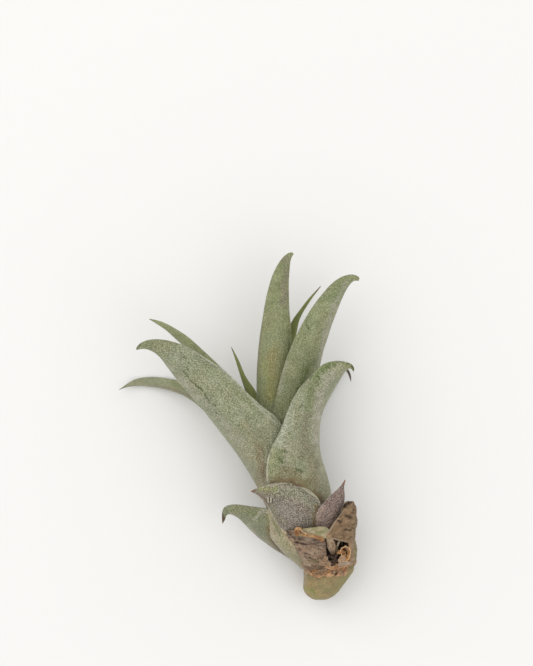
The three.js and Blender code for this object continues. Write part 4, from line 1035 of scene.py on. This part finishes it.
def basal_leaves():
    """The short leaves that clasp the base, two of them on the far side."""
    green = living_leaf(
        "base_leaf_green_skin", (0.372, 0.308, 0.205), cover=0.58, margin=CREAM, margin_strength=0.75,
        base=OLIVE,
        tones=[(GREEN, (12, -30, 16, -41.5, 2.2, 0.35)), (OLIVE, (17, -42, 22, -47, 2.2, 0.5))],
        scuffs=[(DARK_GREEN, (12.2, -32, 13, -34.5, 0.6, 0.5), (13.6, -35, 14.4, -37.5, 0.5, 0.5))],
        # This brown line is painted shade along the front sheath's edge.
        lines=[(BROWN, (17.6, -37.6, 19.7, -40.8, 0.55, 0.6), (19.7, -40.8, 21, -44, 0.5, 0.6))])
    left = living_leaf(
        "base_leaf_left_skin", (0.228, 0.228, 0.142), cover=0.48, contrast=0.9, tip=(0.085, 0.055, 0.028),
        tip_from=0.83, lines_above=15.5,
        tones=[(GREEN, (-3, -28.4, 5, -29.6, 1.6, 0.3)),
            # These brown rows are painted shadow under the green basal leaf's edge, laid over this leaf's own
            # brown.
            (BROWN, (10.4, -34.9, 11.2, -39.6, 14.6, -44.6, 1.2, 0.9), (14.6, -44.6, 20, -48.4, 1.1, 0.9)),
            (MAUVE, (5, -37, 12, -43, 1.6, 0.45)), (OLIVE, (18, -46, 22, -49.5, 2, 0.7)),
            # The brown row at the end of the next line is painted shade along the front sheath's edge.
            (PINK_TAN, (20, -45, 22.6, -50, 1.9, 0.6)), (BROWN, (20.8, -43, 22.8, -48.6, 0.8, 0.6)),
            (LAVENDER, (8.9, -28.9, 10.3, -29.6, 1.4, 0.9), (8.3, -28.9, 5.9, -32, 1, 0.9)),
            # The green row at the start of the next line is painted shade beside the pale flap.
            (GREEN, (7, -28.8, 5.6, -31.2, 0.8, 0.5)), (OLIVE, (10, -30.6, 10.2, -33.4, 0.9, 0.6))],
        scuffs=[(CREAM, (3, -34, 6, -38, 0.8, 0.3))],
        # These olive-brown and dark-brown lines are painted shadow under the green basal leaf's edge, over
        # this leaf's own brown.
        lines=[(OLIVE_BROWN, (10.5, -34.9, 11.4, -39.6, 14.8, -44.4, 0.79, 0.9),
            (14.8, -44.4, 20, -48.3, 0.79, 0.85)),
            (DARK_BROWN, (11, -35.8, 12.1, -39.9, 15.3, -44.5, 0.45, 0.8),
            (15.3, -44.5, 20.4, -48, 0.45, 0.75))])
    purple = living_leaf(
        "base_leaf_purple_skin", (0.232, 0.168, 0.138), cover=0.48, bare=(0.5, 0.46, 0.45), dust=0.075,
        base=BROWN, base_strength=0.15, margin=(0.4, 0.35, 0.29), margin_strength=0.8, tip=RUST,
        tip_from=0.88,
        tones=[(MAUVE, (28.5, -35, 31, -29.5, 1, 0.5))],
        lines=[(PINK_TAN, (27.3, -34.6, 28, -30.8, 0.4, 0.6), (28, -30.8, 29.7, -27.7, 0.35, 0.5))])
    dry = dry_leaf(
        "base_leaf_dry_skin", (5, 11), (0.275, 0.18, 0.101), (0.205, 0.131, 0.071), (0.055, 0.032, 0.017),
        margin=(0.4, 0.3, 0.18), crease=0.85,
        marks=[(OLIVE_BROWN, (40.8, -38, 40.9, -31, 0.8, 0.6)),
            (DARK_BROWN, (36.8, -27.3, 39.2, -25.7, 0.75, 0.9), (37.3, -30.6, 39.4, -31.3, 0.6, 0.85),
            (34.6, -32.2, 35.9, -32.8, 0.5, 0.85), (37.4, -35.4, 39.4, -35.8, 0.5, 0.8)),
            (PINK_TAN, (30.8, -37, 36.4, -28.6, 0.4, 0.55), (30.6, -38, 34.5, -38.9, 0.35, 0.7),
            (34.5, -38.9, 39.4, -40.5, 0.35, 0.6))])
    leaf("base_leaf_back", green, 1.0, SHORT_GRID)
    leaf("base_leaf_right_back", purple, 1.0, SHORT_GRID)
    leaf("base_leaf_left", left, 1.2, wave=0.2)
    leaf("base_leaf_green", green, 1.0, SHORT_GRID, wave=0.15)
    leaf("base_leaf_front", base_front_skin(), 1.1, SHORT_GRID, wave=0.15)
    leaf("base_leaf_purple", purple, 1.0, SHORT_GRID)
    leaf("base_leaf_dry", dry, 0.6, DRY_GRID, wave_size=5, margin_wave=0.25,
         crumple=wrinkles(0.55, 1.3, 2.2, 21))
    flake("base_leaf_dry", (37.5, -27.4, 31.2, 62, 4.6, 1.9, 0.15, 0.3), dry, 7)


def dry_sheaths():
    """The dead sheaths round the base, the fringe above the foot and what is torn from them."""
    front = dry_leaf(
        "sheath_front_skin", (3, 13), (0.345, 0.236, 0.16), (0.235, 0.155, 0.1), (0.055, 0.033, 0.02),
        crease=0.85,
        marks=[(MAUVE, (17.5, -37, 30, -40.8, 1.9, 0.6)), (PINK_TAN, (24, -44.2, 29.5, -43.5, 1.8, 0.35),
            (22.8, -45.8, 25, -49, 1.4, 0.75), (25.5, -48, 29, -49.2, 1.2, 0.7)),
            (DARK_BROWN, (17, -35.9, 19.9, -39, 0.5, 0.7), (20, -39.9, 23.5, -40.6, 0.5, 0.95),
            (23.5, -40.6, 30.2, -39.8, 0.3, 0.75), (24.8, -45.4, 27.5, -46.8, 0.4, 0.8),
            (27.5, -46.8, 29.8, -48, 0.35, 0.8)), (OLIVE_BROWN, (25.2, -46.2, 27.8, -47, 0.7, 0.6))])
    side = dry_leaf(
        "sheath_side_skin", (5, 9), (0.33, 0.225, 0.145), (0.25, 0.165, 0.102), (0.08, 0.048, 0.029),
        specks=0.3, crease=0.5,
        marks=[(PINK_TAN, (35.5, -47, 40, -48.3, 1.9, 0.85)), (OLIVE, (40.9, -41, 41.2, -47.5, 1, 0.8)),
            (ORANGE, (38.6, -41, 39.2, -45, 0.9, 0.4))])
    back = dry_leaf(
        "sheath_back_skin", (12, 4), (0.29, 0.2, 0.135), (0.2, 0.125, 0.08), (0.06, 0.035, 0.022))
    orange = dry_leaf(
        "fringe_skin", (40, 5), (0.65, 0.385, 0.205), (0.45, 0.24, 0.12), (0.08, 0.04, 0.02), specks=0.7,
        crease=0.9,
        marks=[(PINK_TAN, (22.6, -48.5, 24.8, -50.6, 1.9, 0.9)),
            (OLIVE, (39.4, -49.5, 41.5, -49.5, 1.9, 0.9)),
            (DARK_BROWN, (33.8, -50.8, 33.9, -50.9, 1.4, 0.9)), (RUST, (36.6, -50.9, 38, -49.3, 0.6, 0.95)),
            (DARK_BROWN, (26, -49.8, 28.5, -50.3, 0.35, 0.8), (30.4, -49.6, 32, -50, 0.35, 0.8))])
    gold = dry_leaf(
        "rim_skin", (4, 14), (0.56, 0.33, 0.15), (0.38, 0.195, 0.08), (0.11, 0.048, 0.02), specks=0.35,
        margin=(0.7, 0.5, 0.28),
        marks=[(RUST, (20, -37.4, 20.3, -35.8, 0.5, 0.7)), (DARK_BROWN, (21.5, -35.8, 23, -37, 0.3, 0.8)),
            (RUST, (23.5, -37.9, 29.4, -39.3, 0.45, 0.7)), (CREAM, (22.2, -35.8, 25, -37, 0.25, 0.6))])
    curl = dry_leaf(
        "curl_skin", (4, 14), (0.7, 0.375, 0.145), (0.49, 0.225, 0.08), (0.15, 0.062, 0.025), specks=0.3,
        margin=(0.78, 0.56, 0.32),
        # The cream stroke is a painted highlight on the curl's right inner wall.
        marks=[(RUST, (34.8, -43, 36.6, -43.4, 0.9, 0.6)), (CREAM, (37.6, -41.6, 38.5, -43.4, 0.5, 0.5)),
            (PINK_TAN, (35.3, -46.4, 36.6, -45.6, 0.9, 0.5))])
    bits = dry_leaf("torn_bits_skin", (4, 6), (0.56, 0.4, 0.26), (0.41, 0.265, 0.16), (0.11, 0.062, 0.036))
    strip = dry_leaf(
        "shred_skin", (10, 3), (0.6, 0.425, 0.275), (0.44, 0.292, 0.182), (0.1, 0.06, 0.034),
        margin=(0.22, 0.145, 0.085),
        # The cream stroke is a painted highlight down the strip's middle.
        marks=[(CREAM, (32.1, -39.3, 31.9, -43.2, 0.35, 0.45))])
    thin = dry_leaf(
        "shred_thin_skin", (4, 2), (0.82, 0.7, 0.48), (0.64, 0.52, 0.33), (0.15, 0.1, 0.06), specks=0.2)
    # Dark skin for the flakes in the hollow, standing in for its shade as well as torn tissue.
    dark = dry_leaf(
        "hollow_shade_skin", (4, 8), (0.19, 0.13, 0.092), (0.11, 0.073, 0.05), (0.025, 0.016, 0.01))
    collar = dry_leaf(
        "collar_skin", (9, 4), (0.43, 0.37, 0.23), (0.33, 0.295, 0.155), (0.23, 0.15, 0.07), specks=0.2,
        crease=0.35, margin=CREAM, margin_strength=0.6,
        marks=[(GREEN, (27.5, -36.5, 30.5, -35.4, 1.2, 0.5)), (ORANGE, (21.4, -34.9, 22.4, -37, 0.8, 0.8),
            (22.8, -37.2, 29.5, -38.4, 0.7, 0.85)), (BROWN, (22, -36, 24, -37.3, 0.3, 0.8))])
    leaf("sheath_dry_back", back, 0.6, DRY_GRID,
         crumple=wrinkles(0.3, 2.4, 2.0, 31), ragged=torn_ends(1.4, 1.6, 1.4, 32))
    leaf("sheath_dry_right", side, 0.6, DRY_GRID,
         crumple=wrinkles(0.3, 2.2, 1.6, 33), ragged=torn_ends(0.6, 1.2, 1.2, 34))
    leaf("sheath_dry_front", front, 0.6, CREASED_GRID,
         crumple=wrinkles(0.85, 1.4, 3.6, 35), ragged=torn_ends(0.5, 0.6, 1.0, 36, sides=0.8))
    leaf("sheath_collar", collar, 0.5, (24, 16), wave=0.25, wave_size=4)
    leaf("fringe_torn", orange, 0.5, (96, 16),
         crumple=wrinkles(0.55, 1.1, 1.2, 37), ragged=torn_ends(1.0, 0.8, 1.0, 38, sides=3.4))
    leaf("shred_strip", strip, 0.4, (10, 24), crumple=wrinkles(0.3, 1.6, 1.0, 39))
    leaf("shred_thin", thin, 0.35, (6, 20))
    curl_piece("shred_curl", curl, (37.1, -43.6, 25.0), 2.45, 2.7, 4)
    curl_piece("fringe_torn", orange, (33.8, -50.9, 20.7), 1.25, 0.8, 8)
    rim_piece(gold)
    flakes("fringe_torn", FRINGE_FLAKES, [curl, bits, bits], 50)
    flakes("sheath_dry_front", FRONT_FLAKES, [bits, bits, bits, side, side, side], 90)
    flakes("shred_curl", CUP_FLAKES, [bits, curl, curl, curl], 150)
    flakes("shred_strip", HOLLOW_FLAKES, [dark], 120)
    flake("sheath_collar", (21.0, -36.2, 32.9, 68, 3.0, 1.7, -0.1, 0.3), gold, 171)


camera()
floor()
lamps()
stem_piece(stem_skin())
long_leaves()
basal_leaves()
dry_sheaths()
